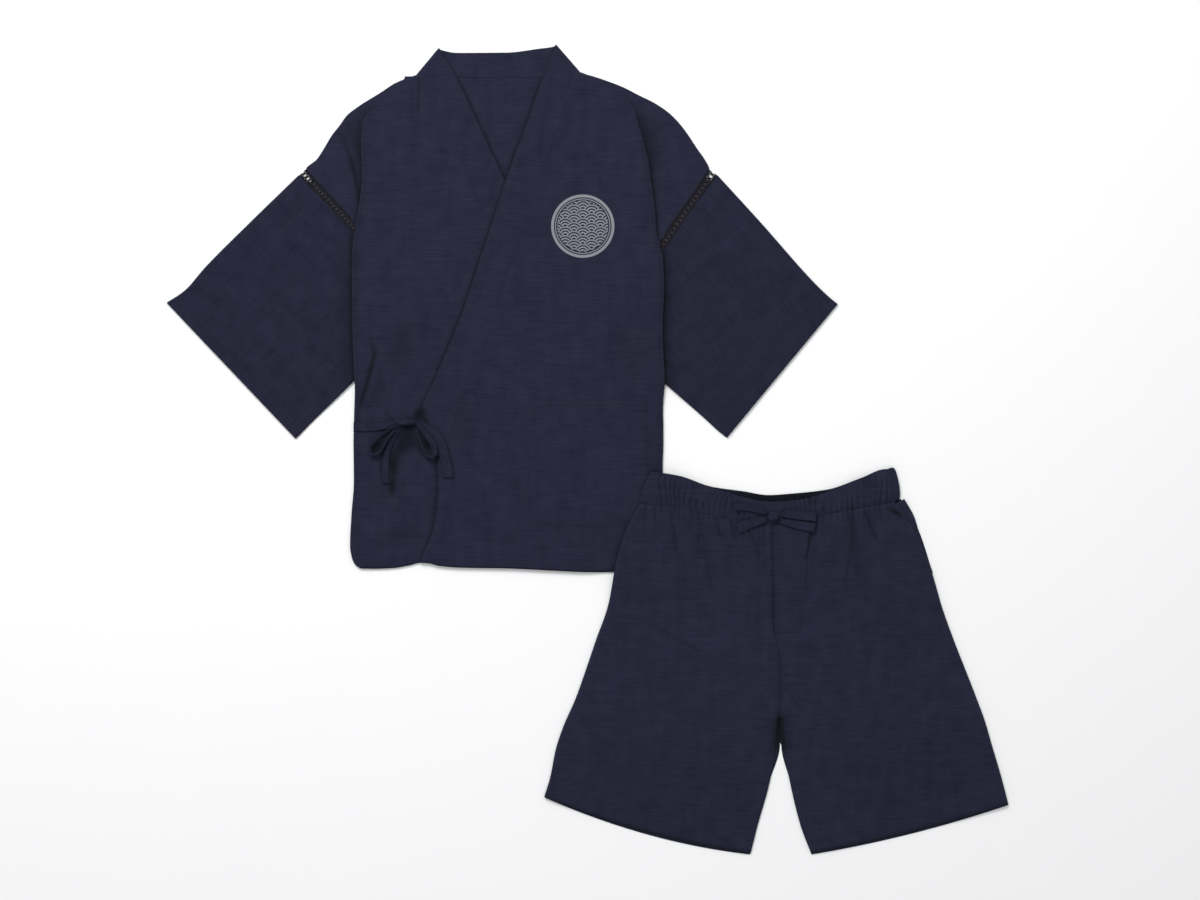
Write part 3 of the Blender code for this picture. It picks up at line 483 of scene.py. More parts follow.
def wavePrint(made, spot, tone):
    # a plain round badge of overlapping wave arcs, printed flat
    x, y, _ = made.node("SeparateXYZ", None, {"Vector": spot})
    x, y = x - roundel["centre"][0], y - roundel["centre"][1]
    far = (x * x + y * y) ** 0.5
    size = roundel["scale"]
    half = size / 2
    u, v = x / size, y / half
    level = v.maths("FLOOR", v)

    def arc(step):
        # distance to the nearest wave centre in the row that many rows above the one below
        row = level + step
        shift = row.maths("FLOORED_MODULO", row, 2.0)
        near = u - shift
        side = near - 2.0 * near.maths("ROUND", near / 2.0)
        up = (v - row) * 0.5
        return (side * side + up * up) ** 0.5

    below, middle, above = arc(-1.0), arc(0.0), arc(1.0)
    inBelow = below < 1.0
    inMiddle = middle < 1.0
    reach = inBelow * below + (1 - inBelow) * (inMiddle * middle + (1 - inMiddle) * above)
    bands = reach.between(0.84, 0.97) + reach.between(0.52, 0.68) + reach.between(0.20, 0.36)
    mask = bands * (far < roundel["field"])
    mask = mask + far.between(*roundel["ring"]) + far.between(*roundel["inner"])
    grain = made.noise(spot, (500.0, 900.0, 500.0), 2.0)
    cover = mask.maths("MINIMUM", mask, 1.0) * (0.90 + (grain - 0.5) * 0.35)
    return cover, roundel["ink"]


finishes = {
    "body": clothFinish("navyCloth"),
    "printed": clothFinish("navyClothPrinted", printed=wavePrint),
    # painted shade: the collar, sleeves and tapes are the same cloth with their colour made darker
    "collar": clothFinish("navyCollar", 10, 0.985),
    "sleeveRight": clothFinish("navySleeveRight", -47, 0.89),
    "sleeveLeft": clothFinish("navySleeveLeft", 52, 0.89),
    "legs": clothFinish("navyLegs", 2),
    "band": clothFinish("navyBand"),
    "tape": clothFinish("navyTape", 40, 0.9),
    "lace": threadFinish("blackLace", (0.003, 0.003, 0.0045, 1), (0.020, 0.018, 0.026, 1), 420.0),
    # painted shade: the dark threads laid behind the openwork
    "throughLaceShade": threadFinish("darkNet", (0.012, 0.011, 0.016, 1), (0.066, 0.057, 0.072, 1), 210.0),
    "stitch": threadFinish("navyStitch", threadLook["dark"], threadLook["light"]),
}
print("materials made:", len(finishes))


# the top's fronts

rightFront = {
    "piece": ("frontRight", "body", "top_front_right"),
    "toward": 1,
    "at": columns(
        "y edge fold foot crest seam",
        [
            (0, -207, -205.5, 1.5, 1.2, 100),
            (6, -215, -213.5, 1.5, 1.8, 100),
            (16, -219.5, -218, 1.5, 2.2, 100),
            (32, -222, -220.5, 1.5, 2.5, 99),
            (76, -220, -218.5, 1.5, 2.6, 98),
            (125, -216.5, -215, 1.5, 2.6, 96),
            (181, -217, -215.5, 1.5, 2.6, 94),
            (225, -216, -214.5, 1.5, 2.6, 92),
            (258, -215, -213.5, 2.4, 2.4, 88),
            (273, -215.7, -214.2, 4.7, 2.3, 86),
            (284, -216.3, -214.8, 4.7, 2.3, 84.2),
            (301, -217.2, -215.7, 4.7, 2.3, 77.8),
            (321, -218, -216.5, 4.7, 2.4, 68.3),
            (372, -219, -217.5, 4.7, 2.6, 43),
            (421, -219.3, -217.8, 4.7, 2.7, 18.3),
            (455, -218.6, -217.1, 4.7, 2.9, 1.6),
            (478, -217, -215.5, 4.7, 3.0, -9.8),
            (489, -213.2, -211.7, 4.7, 3.3, -15.2),
            (496, -217.4, -211.5, 4.7, 3.6, -18.7),
            (509, -230.2, -210.0, 1.6, 4.4, -25.1),
            (526, -245.2, -207, 1.5, 4.6, -33.5),
            (550, -266.2, -204, 1.5, 4.4, -45.4),
            (566, -279.8, -203.5, 1.5, 4.1, -53.5),
            (574, -286.4, -203.5, 1.5, 3.9, -57.6),
            (588, -271, -204, 1.5, 3.4, -64.7),
            (603, -261, -205, 1.5, 2.8, -72.3),
            (623, -249, -205.5, 1.5, 1.9, -82.4),
            (639, -236.5, -205, 1.5, 1.2, -90.5),
            (651, -228, -200, 1.5, 0.7, -96.6),
            (665, -210, -188, 1.5, 0.4, -103.7),
            (685, -178, -164, 1.5, 0.3, -113.8),
            (697.5, -159, -149, 1.5, 0.25, -120.1),
            (701, -151.5, -142, 1.5, 0.22, -121.9),
            (704, -144.5, -138, 1.5, 0.2, -123.4),
        ],
    ),
    "span": (0, 704),
    "sewn": (286, 2.15),  # from here up the edge is sewn into the collar, at this height
    "shoulder": ((-147, 684), (22, 20), 5.5),  # from where, over how much and how far it climbs the collar
    "sleeve": ((-116, 369), (-297.3, 565.2), (-301, 186)),  # its corner, shoulder and cuff
    "tuck": columns(  # the shade in the fold beside the shoulder: how wide, how deep, and its core
        "y wide deep core",
        [
            (470, 5, 0.2, 0.3),
            (490, 6, 0.4, 0.8),
            (515, 8, 0.5, 1),
            (545, 11, 0.5, 1),
            (573, 14, 0.45, 0.9),
            (592, 18, 0.42, 0.8),
            (622, 26, 0.38, 0.65),
            (645, 20, 0.25, 0.4),
            (662, 12, 0.12, 0.2),
            (680, 9, 0, 0),
        ],
    ),
    "folds": [
        (((-255, 600), (-228, 530)), 16, 1.8, 0),
        (((-178, 322), (-201, 236)), 9, 2.2, 0),
        (((-160, 380), (-150, 250)), 22, 1.6, 0),
        (((-170, 90), (-130, 150)), 20, 1.4, 0),
        (((-205, 40), (-150, 62)), 14, 1.0, 0),
    ],
    "creases": [
        (((-124.6, 712), (-124.2, 690), (-125.5, 652)), 2.4, -0.9, 0.5),
        (((-193.5, 325), (-186.5, 309), (-198.7, 262), (-212, 224)), 4.4, -2.2, 0.9),
        (((-240, 633), (-226, 600), (-214, 566)), 5.0, -1.3, 0.5),
        (((-212, 652), (-204, 622), (-203, 590)), 4.0, -0.9, -0.3),
        (((-196, 352), (-178, 347), (-162, 351)), 4.0, 0.5, 0),
        (((-172, 224), (-164, 214), (-158, 210)), 3.0, -0.9, 0.5),
        (((-120, 236), (-128, 262), (-122, 300)), 5.0, 0.9, 0),
        (((-146, 216), (-150, 246), (-160, 282)), 5.0, -0.7, 0.5),
        (((-141, 196), (-146, 160), (-138, 120)), 6.0, 0.8, 0),
        (((-205, 190), (-180, 184), (-164, 190)), 4.5, -0.6, 0.4),
        (((-196, 92), (-176, 78), (-150, 82)), 5.0, -0.6, 0.4),
        (((-190, 50), (-160, 40), (-140, 44)), 5.0, -0.5, 0.3),
        (((-70, 480), (-50, 470), (-20, 480)), 6.0, 0.4, 0),
    ],
    "seed": 5,
}
leftFront = {
    "piece": ("frontLeft", "printed", "top_front_left"),
    "toward": -1,
    "at": columns(
        "y edge fold foot crest seam",
        [
            (0, 219, 217.5, 1.5, 0.6, -121.5),
            (9, 224, 222.5, 1.5, 0.8, -120),
            (32, 225, 223.5, 1.5, 0.8, -111),
            (59, 225.5, 224, 1.5, 0.8, -102.5),
            (87, 226, 224.5, 1.5, 1.0, -97.5),
            (118, 226, 224.5, 1.5, 1.6, -96),
            (150, 226, 224.5, 1.5, 2.2, -97.5),
            (163, 226.5, 225, 1.5, 2.4, -93),
            (178, 227, 225.5, 1.5, 2.4, -85.5),
            (200, 227, 225.5, 1.5, 2.4, -78),
            (228, 226.5, 225, 1.5, 2.4, -70),
            (254, 228, 226.5, 2.2, 2.3, -60.5),
            (272, 229.5, 228, 4.7, 2.2, -54),
            (300, 228, 226.5, 4.7, 2.3, -42),
            (347, 226.5, 225, 4.7, 2.5, -22.5),
            (402, 228.5, 227, 4.7, 2.7, -4),
            (445, 227, 225.5, 4.7, 2.9, 10.5),
            (463, 222.5, 221, 4.7, 3.2, 16),
            (470, 224.6, 219, 4.7, 3.5, 18.4),
            (486, 236.6, 216, 1.6, 4.2, 23.8),
            (513, 254.6, 214, 1.5, 4.6, 33),
            (541, 273.0, 210.5, 1.5, 4.5, 42.5),
            (555, 282.0, 208.5, 1.5, 4.4, 47.2),
            (566, 288.9, 207, 1.5, 4.3, 50.8),
            (573.5, 294.1, 206, 1.5, 4.2, 53.3),
            (588, 287.5, 204, 1.5, 3.8, 58.5),
            (603, 277, 200, 1.5, 3.2, 63.5),
            (625, 262.5, 195, 1.5, 2.2, 71.5),
            (640, 251, 191, 1.5, 1.5, 76.5),
            (655, 236, 187, 1.5, 0.9, 82),
            (670, 214, 180, 1.5, 0.5, 87.5),
            (680, 193.5, 170, 1.5, 0.4, 91.5),
            (693, 168, 150, 1.5, 0.3, 96.5),
            (709, 124, 117, 1.5, 0.2, 103),
        ],
    ),
    "span": (0, 709),
    "sewn": (160, 5.0),
    "shoulder": ((124, 690), (20, 19), 5.0),
    "sleeve": ((148.6, 337), (306, 565.5), (319.5, 187.5)),
    "tuck": columns(
        "y wide deep core",
        [
            (455, 5, 0.3, 0.5),
            (470, 6, 0.45, 0.9),
            (515, 8, 0.5, 1),
            (544, 12, 0.5, 1),
            (573, 17, 0.45, 1),
            (602, 23, 0.42, 0.9),
            (632, 28, 0.38, 0.7),
            (650, 26, 0.25, 0.4),
            (665, 18, 0.12, 0.2),
            (684, 10, 0, 0),
        ],
    ),
    "folds": [
        (((240, 600), (225, 520)), 16, 1.6, 0),
        (((190, 560), (180, 470)), 24, 1.2, 0),
        (((-80, 290), (-100, 210)), 14, 1.4, 0),
        (((120, 420), (180, 380)), 30, 1.2, 0),
        (((-20, 120), (60, 30)), 26, 1.0, 0),
        (((170, 180), (224, 150)), 12, 1.2, 0),
    ],
    "creases": [
        (((190, 662), (196, 640), (203, 612)), 7.0, -1.6, -0.6),
        (((83, 664), (77, 640), (71, 612)), 2.6, -0.35, 0.2),
        (((236, 640), (226, 612), (222, 590)), 7.0, -0.7, 0.4),
        (((-60, 252), (-69, 230), (-79, 207)), 2.6, -0.7, 0.5),
        (((-73, 254), (-80, 238), (-86, 222)), 2.6, -0.6, 0.4),
        (((-46, 244), (-50, 216), (-58, 192)), 4.0, -0.4, 0.4),
        (((-94, 236), (-88, 250), (-70, 262)), 3.5, 0.6, 0),
        (((150, 70), (185, 62), (222, 66)), 5.0, -0.6, 0.4),
        (((140, 30), (176, 24), (214, 28)), 4.5, -0.5, 0.35),
        (((-60, 40), (-20, 34), (30, 40)), 6.0, -0.4, 0.3),
        (((120, 272), (160, 268), (214, 276)), 7.0, -0.5, 0.4),
        (((36, 330), (70, 338), (110, 332)), 8.0, 0.5, 0),
        (((170, 400), (190, 380), (196, 350)), 8.0, -0.4, 0.4),
        (((40, 590), (54, 578), (60, 560)), 5.0, -0.4, 0.2),
    ],
    "seed": 9,
}
hem = columns(
    "x rise",
    [(-230, 0), (-186, -1), (-161, 0), (-139, 3.5), (-121, 7.5), (-108, 6.5), (-94, 3), (-60, 0.5), (0, -0.5),
     (134, -6), (230, -4)],
)
underlap = columns(  # the under front's edge below the over front
    "y x",
    [(0, 100), (200, 90), (284, 95), (305, 125), (343, 110), (441, 60), (559, 2), (620, -90), (750, -300)],
)


def hemShift(x, y):
    return hem["rise"](x) * np.maximum(0.0, 1 - y / 60.0)


def overSleeve(x, y, corners):
    # 1 where the front lies on the sleeve that is tucked under it, fading to 0
    corner, shoulder, cuff = (np.array(point, float) for point in corners)
    outside = np.zeros(np.broadcast(x, y).shape)
    for end, other in ((shoulder, cuff), (cuff, shoulder)):
        run = (end - corner) / np.linalg.norm(end - corner)
        normal = np.array((run[1], -run[0]))
        if normal @ (other - corner) > 0:
            normal = -normal
        outside = np.maximum(outside, (x - corner[0]) * normal[0] + (y - corner[1]) * normal[1])
    return 1 - smooth(outside / 45.0)


def frontLayers(side, x, y):
    # undersides of a front outside its side fold and inside it, and the way in from the fold
    at, toward = side["at"], side["toward"]
    soft = creased(x, y, side["folds"])
    level = cloth["onBack"] + 3.2 * overSleeve(x, y, side["sleeve"])
    if side is leftFront:
        below = rightHeight(x, y) + 2.8
        under = below + (cloth["onBack"] - below) * smooth((x - underlap["x"](y)) / 60.0)
        level = np.maximum(under, level)
    inside = (x - at["fold"](y)) * toward
    main = level + at["crest"](y) * np.exp(-np.maximum(inside, 0) / 55.0) + soft * smooth(inside / 20)
    outer = at["foot"](y) + 0.7 * soft * smooth((x - at["edge"](y)) * toward / 25)
    return outer, main, inside


def frontHeight(side, x, y):
    outer, main, inside = frontLayers(side, x, y)
    return np.maximum(outer + (main - outer) * smooth((inside + 1.5) / 5), cloth["onBack"])


def rightHeight(x, y):
    return frontHeight(rightFront, x, y)


def leftHeight(x, y):
    return frontHeight(leftFront, x, y)


def leftDetail(x, y):
    # creases of the over front that show through whatever is sewn on it too
    return creased(x, y, leftFront["creases"]) + puckered(x, y, leftFront["seed"])


def frontStrips(side, y, inner):
    # the cloth outside the side fold (a), the turn round the fold's lip (b), the panel up to the collar (c)
    at, toward = side["at"], side["toward"]
    edge, fold, seam = at["edge"](y), at["fold"](y), at["seam"](y)
    outer, main, _ = frontLayers(side, fold, y)
    tucked = 1 - smooth((np.abs(edge - fold) - 2.0) / 7.0)  # the side itself is the fold
    pleat = smooth((main - outer - 1.3) / 2.0) * (1 - tucked)
    start = edge + toward * 7.5 * tucked
    end = fold + toward * (6.0 * pleat + 0.3) * (1 - tucked) + (edge + toward * 1.3 - fold) * tucked
    xa = start + (end - start) * np.linspace(0, 1, 26)[None, :]
    held = np.minimum(xa, fold) if toward > 0 else np.maximum(xa, fold)
    outerA, _, insideA = frontLayers(side, held, y)
    detailA = creased(xa, y, side["creases"]) + puckered(xa, y, side["seed"])
    slide = smooth((insideA + 14) / 14) * pleat
    za = outerA + np.where(tucked > 0.5, 0.0, detailA * (1 - slide)) - 0.4 * slide
    za = np.maximum(za, cloth["onBack"] - 0.05)
    # from under the lip up and out, then in along the panel
    angle = np.linspace(0, 1, 9)[None, 1:] * math.pi
    lip = fold - toward * (1.6 * pleat + 0.2) * (1 - tucked) + (edge - fold) * tucked
    _, mainLip, _ = frontLayers(side, fold + toward * 2.5, y)
    crown = np.maximum(mainLip + puckered(fold, y, side["seed"]) * 0.5, cloth["onBack"])
    bulge = 0.5 - 0.5 * np.cos(angle)
    inward = np.where(angle > math.pi / 2, 1 - np.sin(angle), 0) * (2.2 * (1 - tucked) + 1.6 * tucked)
    xb = end + (lip - end) * np.sin(np.minimum(angle, math.pi / 2)) + toward * inward
    zb = za[:, -1:] + (crown - za[:, -1:]) * bulge
    share = np.linspace(0, 1, inner)[None, 1:]
    share = share * 0.72 + 0.28 * share**1.6
    xc = xb[:, -1:] + (seam - xb[:, -1:]) * share
    _, mainC, insideC = frontLayers(side, xc, y)
    detailC = creased(xc, y, side["creases"]) + puckered(xc, y, side["seed"])
    hold = smooth(insideC / 10)
    fromSeam = np.abs(seam - xc)
    zc = mainC * hold + (1 - hold) * crown + detailC * hold * smooth(fromSeam / 6)
    zc = np.maximum(zc, cloth["onBack"] + 0.05)
    # the seam lies inside the collar, which the cloth climbs to
    sewnFrom, sewnHigh = side["sewn"]
    zc = zc + (sewnHigh - zc) * (1 - smooth(fromSeam / 26.0)) * smooth((y - sewnFrom) / 14.0)
    xc = xc + toward * 3.2 * (1 - smooth(fromSeam / 9.0)) * smooth((y - sewnFrom) / 6.0)
    return {"outside": (xa, za), "turn": (xb, zb), "panel": (xc, zc), "fold": fold, "seam": seam,
            "pleat": pleat, "bulge": bulge, "hold": hold}


def outsideShade(side, x, y, fold):
    wide, deep, core = (side["tuck"][name](y) for name in ("wide", "deep", "core"))
    away = np.maximum((fold - x) * side["toward"], 0)
    uneven = 1 + 0.3 * drift(x, y, (8, 34), side["seed"] + 6)
    uneven = uneven + 0.15 * drift(x, y, (4, 22), side["seed"] + 7)
    dark = deepest(creaseShade(x, y, side["creases"]) * 0.9, deep * uneven * np.exp(-((away / wide) ** 2.4)),
                   core * np.exp(-((away / (0.3 * wide + 1.6)) ** 2)))
    if side is rightFront:
        dark = deepest(dark, smooth((634 - y) / 60) * beside(x, y, edges["tuck"], 2.8, 0.9))
    return dark


def panelShade(side, y, strips, lipShade):
    x = strips["panel"][0]
    fromFold = (x - strips["fold"]) * side["toward"]
    dark = deepest(creaseShade(x, y, side["creases"]) * strips["hold"],
                   0.35 * lipShade * np.exp(-((fromFold / 4.0) ** 2)))
    if side is rightFront:
        low = smooth((165 - y) / 10)  # below the bow
        broad = 0.32 * low * (0.35 + 0.65 * smooth((y - 20) / 70))
        dark = deepest(dark, beside(x, y, edges["bow"], 8.0, 0.72),
                       beside(x, y, freeEdges["over"], 2.2, 0.68) * (1 - 0.4 * low),
                       beside(x, y, freeEdges["over"], 3.6, broad),
                       shaded(x, y, bowShade["under"] + bowShade["both"]))
    else:
        free = smooth((168 - y) / 10)  # the front's own edge, below the collar
        dark = deepest(dark, 0.42 * free * np.exp(-((np.abs(strips["seam"] - x) / 1.6) ** 2)),
                       shaded(x, y, bowShade["both"]), beside(x, y, edges["tail"], 1.9, 0.6),
                       beside(x, y, edges["shorts"], 3.0, 0.55), beside(x, y, edges["shorts"], 11.0, 0.16))
    return deepest(dark, shaded(x, y, bodyShade), 0.65 * (1 - smooth(y / 3.6)))


def frontSheet(side, rows=212, inner=150):
    toward = side["toward"]
    y = np.linspace(*side["span"], rows)[:, None]
    strips = frontStrips(side, y, inner)
    onSleeve = smooth((y - 258) / 12) * smooth((500 - y) / 20)
    lipShade = np.maximum(np.maximum(strips["pleat"], side["tuck"]["core"](y)), 0.9 * onSleeve)
    # painted shade outside the side fold, round its lip and on the panel
    dark = np.hstack([
        outsideShade(side, strips["outside"][0], y, strips["fold"]),
        lipShade * (1 - smooth((strips["bulge"] - 0.62) / 0.36)),
        panelShade(side, y, strips, lipShade),
    ])
    xs, zs = (np.hstack([strips[name][k] for name in ("outside", "turn", "panel")]) for k in range(2))
    (fromX, fromY), (overX, overY), climb = side["shoulder"]
    ys = y + hemShift(xs, y)
    ys = ys + climb * smooth((xs - fromX) * toward / overX) * smooth((y - fromY) / overY)
    doubled = 1 - smooth((y - 17.0) / 2.5)  # the hem is turned up
    zs = zs + 0.25 * doubled * smooth((zs - 1.4) / 0.1)
    if toward < 0:
        xs, ys, zs, dark = (values[:, ::-1] for values in (xs, ys, zs, dark))
    return sheetMesh(xs, ys, zs + cloth["rise"], top, paintedShade=dark)


for side in (rightFront, leftFront):
    name, finish, node = side["piece"]
    made = piece(name, frontSheet(side), finishes[finish], node, cloth["wall"], 1, 0.35)
print("fronts laid")


# the back body

back = {"top": 707.9, "inset": 0.8, "armholes": (-216.0, 226.0)}


def backSheet():
    y = np.concatenate([np.linspace(0, 540, 96)[:-1], np.linspace(540, back["top"], 74)])[:, None]
    left, right = rightFront["at"]["edge"](y), leftFront["at"]["edge"](y)
    # inside the fronts' edges, and no wider than the armholes where the sleeves are
    first, last = back["armholes"]
    left = np.where(y < 490, np.where(y > 264, np.maximum(left, first), left) + back["inset"], left)
    right = np.where(y < 466, np.where(y > 265, np.minimum(right, last), right) - back["inset"], right)
    right = right + 3.4 * smooth((y - 436) / 10) * smooth((472 - y) / 10)  # under the end of the lace
    left = left - 3.0 * smooth((y - 462) / 10) * smooth((494 - y) / 8)
    share = np.linspace(0, 1, 108)[None, :]
    share = share + 0.065 * np.sin(2 * math.pi * share)  # closer together at the neck
    x = left + (right - left) * share
    swell = 0.10 * drift(x, y, 60, 22) + 0.06 * drift(x, y, (34, 9), 23)
    groove = 0.16 * np.exp(-((x - 2) / 1.6) ** 2)  # the seam down the middle, seen from below
    z = 0.14 + swell + groove
    z = z + 0.4 * smooth((y - 690) / 15) * smooth((x + 74) / 10) * smooth((62 - x) / 10)  # up to the collar
    # painted shade beside the collar's free edges and along the sides where the lace ends
    dark = deepest(beside(x, y, freeEdges["over"], 2.5, 0.7), beside(x, y, freeEdges["under"], 2.5, 0.7))
    dark = dark * smooth((y - 540) / 20)
    dark = deepest(dark, 0.8 * (1 - smooth((x - left) / 9)) * smooth((y - 462) / 10) * smooth((500 - y) / 8),
                   0.8 * (1 - smooth((right - x) / 9)) * smooth((y - 436) / 10) * smooth((480 - y) / 8))
    return sheetMesh(x, y + hemShift(x, y), np.maximum(z, 0.01), top, paintedShade=dark)


made = piece("backBody", backSheet(), finishes["body"], "top_back", cloth["wall"] - 0.05, 1, 0.4)


# the collar, one doubled band

collar = {
    "rows": [  # the outer edge, the sewn edge and the height
        (125, 305, 86, 284, 2.7),
        (108, 343, 69, 321, 2.7),
        (58, 441, 18.5, 421.6, 2.7),
        (0, 559, -39.5, 540, 2.7),
        (-40, 645, -80.5, 626, 2.8),
        (-66, 701, -108, 680, 3.4),
        (-93.0, 746.1, -124.2, 708.4, 3.9),
        (-94.6, 747.9, -125.9, 710.3, 2.55),
        (-93.0, 746.1, -124.2, 708.4, 1.2),
        (-66, 741.5, -70, 708.3, 1.2),
        (3, 742, 0, 708.3, 1.2),
        (45, 747, 52, 708.8, 1.2),
        (71.4, 750.9, 104.4, 713.1, 1.2),
        (72.8, 752.9, 105.8, 715.0, 2.55),
        (71.2, 750.6, 104.2, 712.8, 3.9),
        (53, 703, 95.5, 688, 4.6),
        (31, 642, 73, 627, 5.3),
        (0, 556, 42, 542, 5.7),
        (-32, 459, 10, 445, 5.7),
        (-65, 361, -23, 347, 5.7),
        (-102, 271, -61, 255, 5.7),
        (-120, 230, -71, 228, 5.7),
        (-112, 200, -78.6, 200, 5.6),
        (-103.5, 177, -86.4, 178, 5.4),
        (-99.8, 162, -94, 162.6, 5.3),
    ],
    "wall": 2.1,
    "lap": 2.6,  # how far the band covers the edge that it holds
    "lower": 0.45,
    "width": 44,
}


def stretchAlong(rows, spacing, least=0.5):
    # the strip's rows with more between them, about this far apart
    rows = np.array(rows, float)
    gaps = np.maximum(np.maximum(np.hypot(*(rows[1:, 0:2] - rows[:-1, 0:2]).T),
                                 np.hypot(*(rows[1:, 2:4] - rows[:-1, 2:4]).T)), least)
    place = np.concatenate([[0], np.cumsum(gaps)])
    wanted = [0.0]
    for start, end in zip(place, place[1:]):
        count = max(1, round((end - start) / spacing))
        wanted += list(start + (end - start) * np.arange(1, count + 1) / count)
    wanted = np.array(wanted)
    return np.stack([through(place, rows[:, k])(wanted) for k in range(rows.shape[1])], 1), wanted


def collarMesh():
    rows, run = stretchAlong(collar["rows"], 3.6)
    rolled, sewn = [0, 0.012, 0.03, 0.055, 0.085], [0.94, 0.97, 0.99, 1.0]
    across = np.concatenate([rolled, np.linspace(0.12, 0.9, 17), sewn])[None, :]
    along, wide = run[:, None] + 0 * across, across * collar["width"]
    ax, ay = rows[:, 2:3] - rows[:, 0:1], rows[:, 3:4] - rows[:, 1:2]
    reach = 1 + collar["lap"] / np.maximum(np.hypot(ax, ay), 12.0)
    x = rows[:, 0:1] + ax * across * reach
    y = rows[:, 1:2] + ay * across * reach
    z = rows[:, 4:5] - collar["lower"] * smooth((rows[:, 4:5] - 2) / 2) + 0 * across
    turned = rows[:, 4:5] < 2.2
    soft = 0.10 * drift(along, wide, (48, 30), 31) + 0.06 * drift(along, wide, (17, 20), 32)
    z = z + np.where(turned, 0.3, 1.0) * soft - 0.12 * (1 - smooth(np.abs(across - 1) / 0.08))
    neck = np.exp(-((rows[:, 4:5] - 1.2) / 0.5) ** 2)  # round the back of the neck
    z = z - 0.55 * neck * smooth((across - 0.9) / 0.08) - 0.35 * (1 - neck) * smooth((across - 0.93) / 0.07)
    # painted shade: a dark line along the free edge, more where the band rolls under above the knot, and
    # beside the over front's edge
    free = 0.62 * np.exp(-((wide / 1.5) ** 2)) * (1 - neck)
    middle = float(run[int(np.argmin(np.abs(rows[:, 0] - 3) + 1000 * (rows[:, 4] > 1.5)))])
    ofOver = smooth((run[:, None] - middle) / 5)
    low = ofOver * smooth((236 - y) / 8) * smooth((y - 198) / 8)  # it rolls under above the knot
    free = np.maximum(free, 0.85 * low * (1 - smooth(wide / 11)))
    dark = deepest(free, (1 - ofOver) * beside(x, y, freeEdges["over"], 2.2, 0.68) * (1 - neck))
    return sheetMesh(x, y, np.maximum(z, collar["wall"] * 0.5), top, paintedShade=dark)


made = piece("collar", collarMesh(), finishes["collar"], "top_collar", collar["wall"], 0, 0.45)
print("back and collar laid")


# sleeves, pressed tubes tucked under the fronts

sleeves = {
    "right": {
        "rows": columns(
            "at ux uy lx ly",
            [
                (0.0, -297.3, 565.2, -116, 369),
                (0.36, -366, 498.5, -183, 303),
                (0.7, -431, 433.5, -246, 240.5),
                (0.86, -461, 399.5, -275, 212.5),
                (1.0, -487, 382, -301, 186),
            ],
        ),
        "creases": [
            (((-452, 402), (-424, 386), (-394, 384)), 6.0, -1.1, 0.8),
            (((-295, 541), (-300, 512), (-318, 488)), 5.0, -0.9, 0.6),
            (((-236, 470), (-232, 400), (-240, 330)), 10.0, -1.3, 0.9),
            (((-262, 300), (-268, 262), (-300, 230)), 9.0, 0.7, 0),
            (((-330, 440), (-345, 380), (-390, 340)), 16.0, 0.6, 0),
            (((-420, 350), (-395, 322), (-380, 288)), 7.0, -0.5, 0.4),
            (((-312, 268), (-340, 262), (-356, 244)), 6.0, -0.5, 0.4),
        ],
        "node": "top_sleeve_right",
        "finish": "sleeveRight",
        "seed": 41,
    },
    "left": {
        "rows": columns(
            "at ux uy lx ly",
            [
                (0.0, 306, 565.5, 148.6, 337),
                (0.36, 369, 496.5, 211, 282),
                (0.8, 445, 411, 285.5, 217),
                (0.93, 468.5, 388.5, 308, 196.5),
                (1.0, 479, 380, 319.5, 187.5),
            ],
        ),
        "creases": [
            (((284, 470), (284, 430), (292, 390)), 9.0, -0.8, 0.6),
            (((242, 440), (244, 380), (240, 300)), 11.0, -1.2, 0.8),
            (((330, 500), (352, 440), (392, 384)), 18.0, 0.7, 0),
            (((300, 300), (330, 290), (352, 262)), 7.0, -0.6, 0.4),
            (((420, 420), (404, 392), (408, 352)), 8.0, -0.5, 0.4),
            (((262, 268), (290, 252), (312, 232)), 6.0, -0.6, 0.5),
        ],
        "node": "top_sleeve_left",
        "finish": "sleeveLeft",
        "seed": 47,
    },
}


cuffAt = 0.925  # the cuff's stitching, as a share of the way from the armhole


def sleeveFloor(x):
    # the body's back lies below the inner end of a sleeve
    outward = np.where(x < 0, -217 - x, x - 229)
    return cloth["onBack"] * (1 - smooth((outward - 16.0) / 40.0))


def sleevePoint(form, at, share):
    rows = form["rows"]
    ux, uy, lx, ly = (rows[name](at) for name in ("ux", "uy", "lx", "ly"))
    x, y = ux + (lx - ux) * share, uy + (ly - uy) * share
    # its armhole edge reaches a little over the lace
    toX, toY = float(rows["ux"](0) - rows["ux"](0.36)), float(rows["uy"](0) - rows["uy"](0.36))
    far = (0.4 + 3.8 * smooth(share / 0.4)) * (1 - smooth(np.asarray(at) / 0.06)) / math.hypot(toX, toY)
    return x + toX * far, y + toY * far


def sleeveTop(form, at, share):
    x, y = sleevePoint(form, at, share)
    floor = sleeveFloor(x)
    out = 1 - floor / cloth["onBack"]
    domed = np.sqrt(np.sin(math.pi * np.clip(share, 0, 1)))
    puff = 0.4 + 1.7 * out * domed * (0.35 + 0.65 * np.sin(math.pi * at))
    detail = (creased(x, y, form["creases"]) + puckered(x, y, form["seed"], 1.2)) * (0.15 + 0.85 * out)
    detail = detail * smooth(share / 0.04) * smooth((1 - share) / 0.04)
    puff = np.maximum(puff + detail, 0.25)
    cuff = 0.35 * smooth((at - cuffAt) / 0.01)
    return x, y, floor + 2.25 + puff + cuff


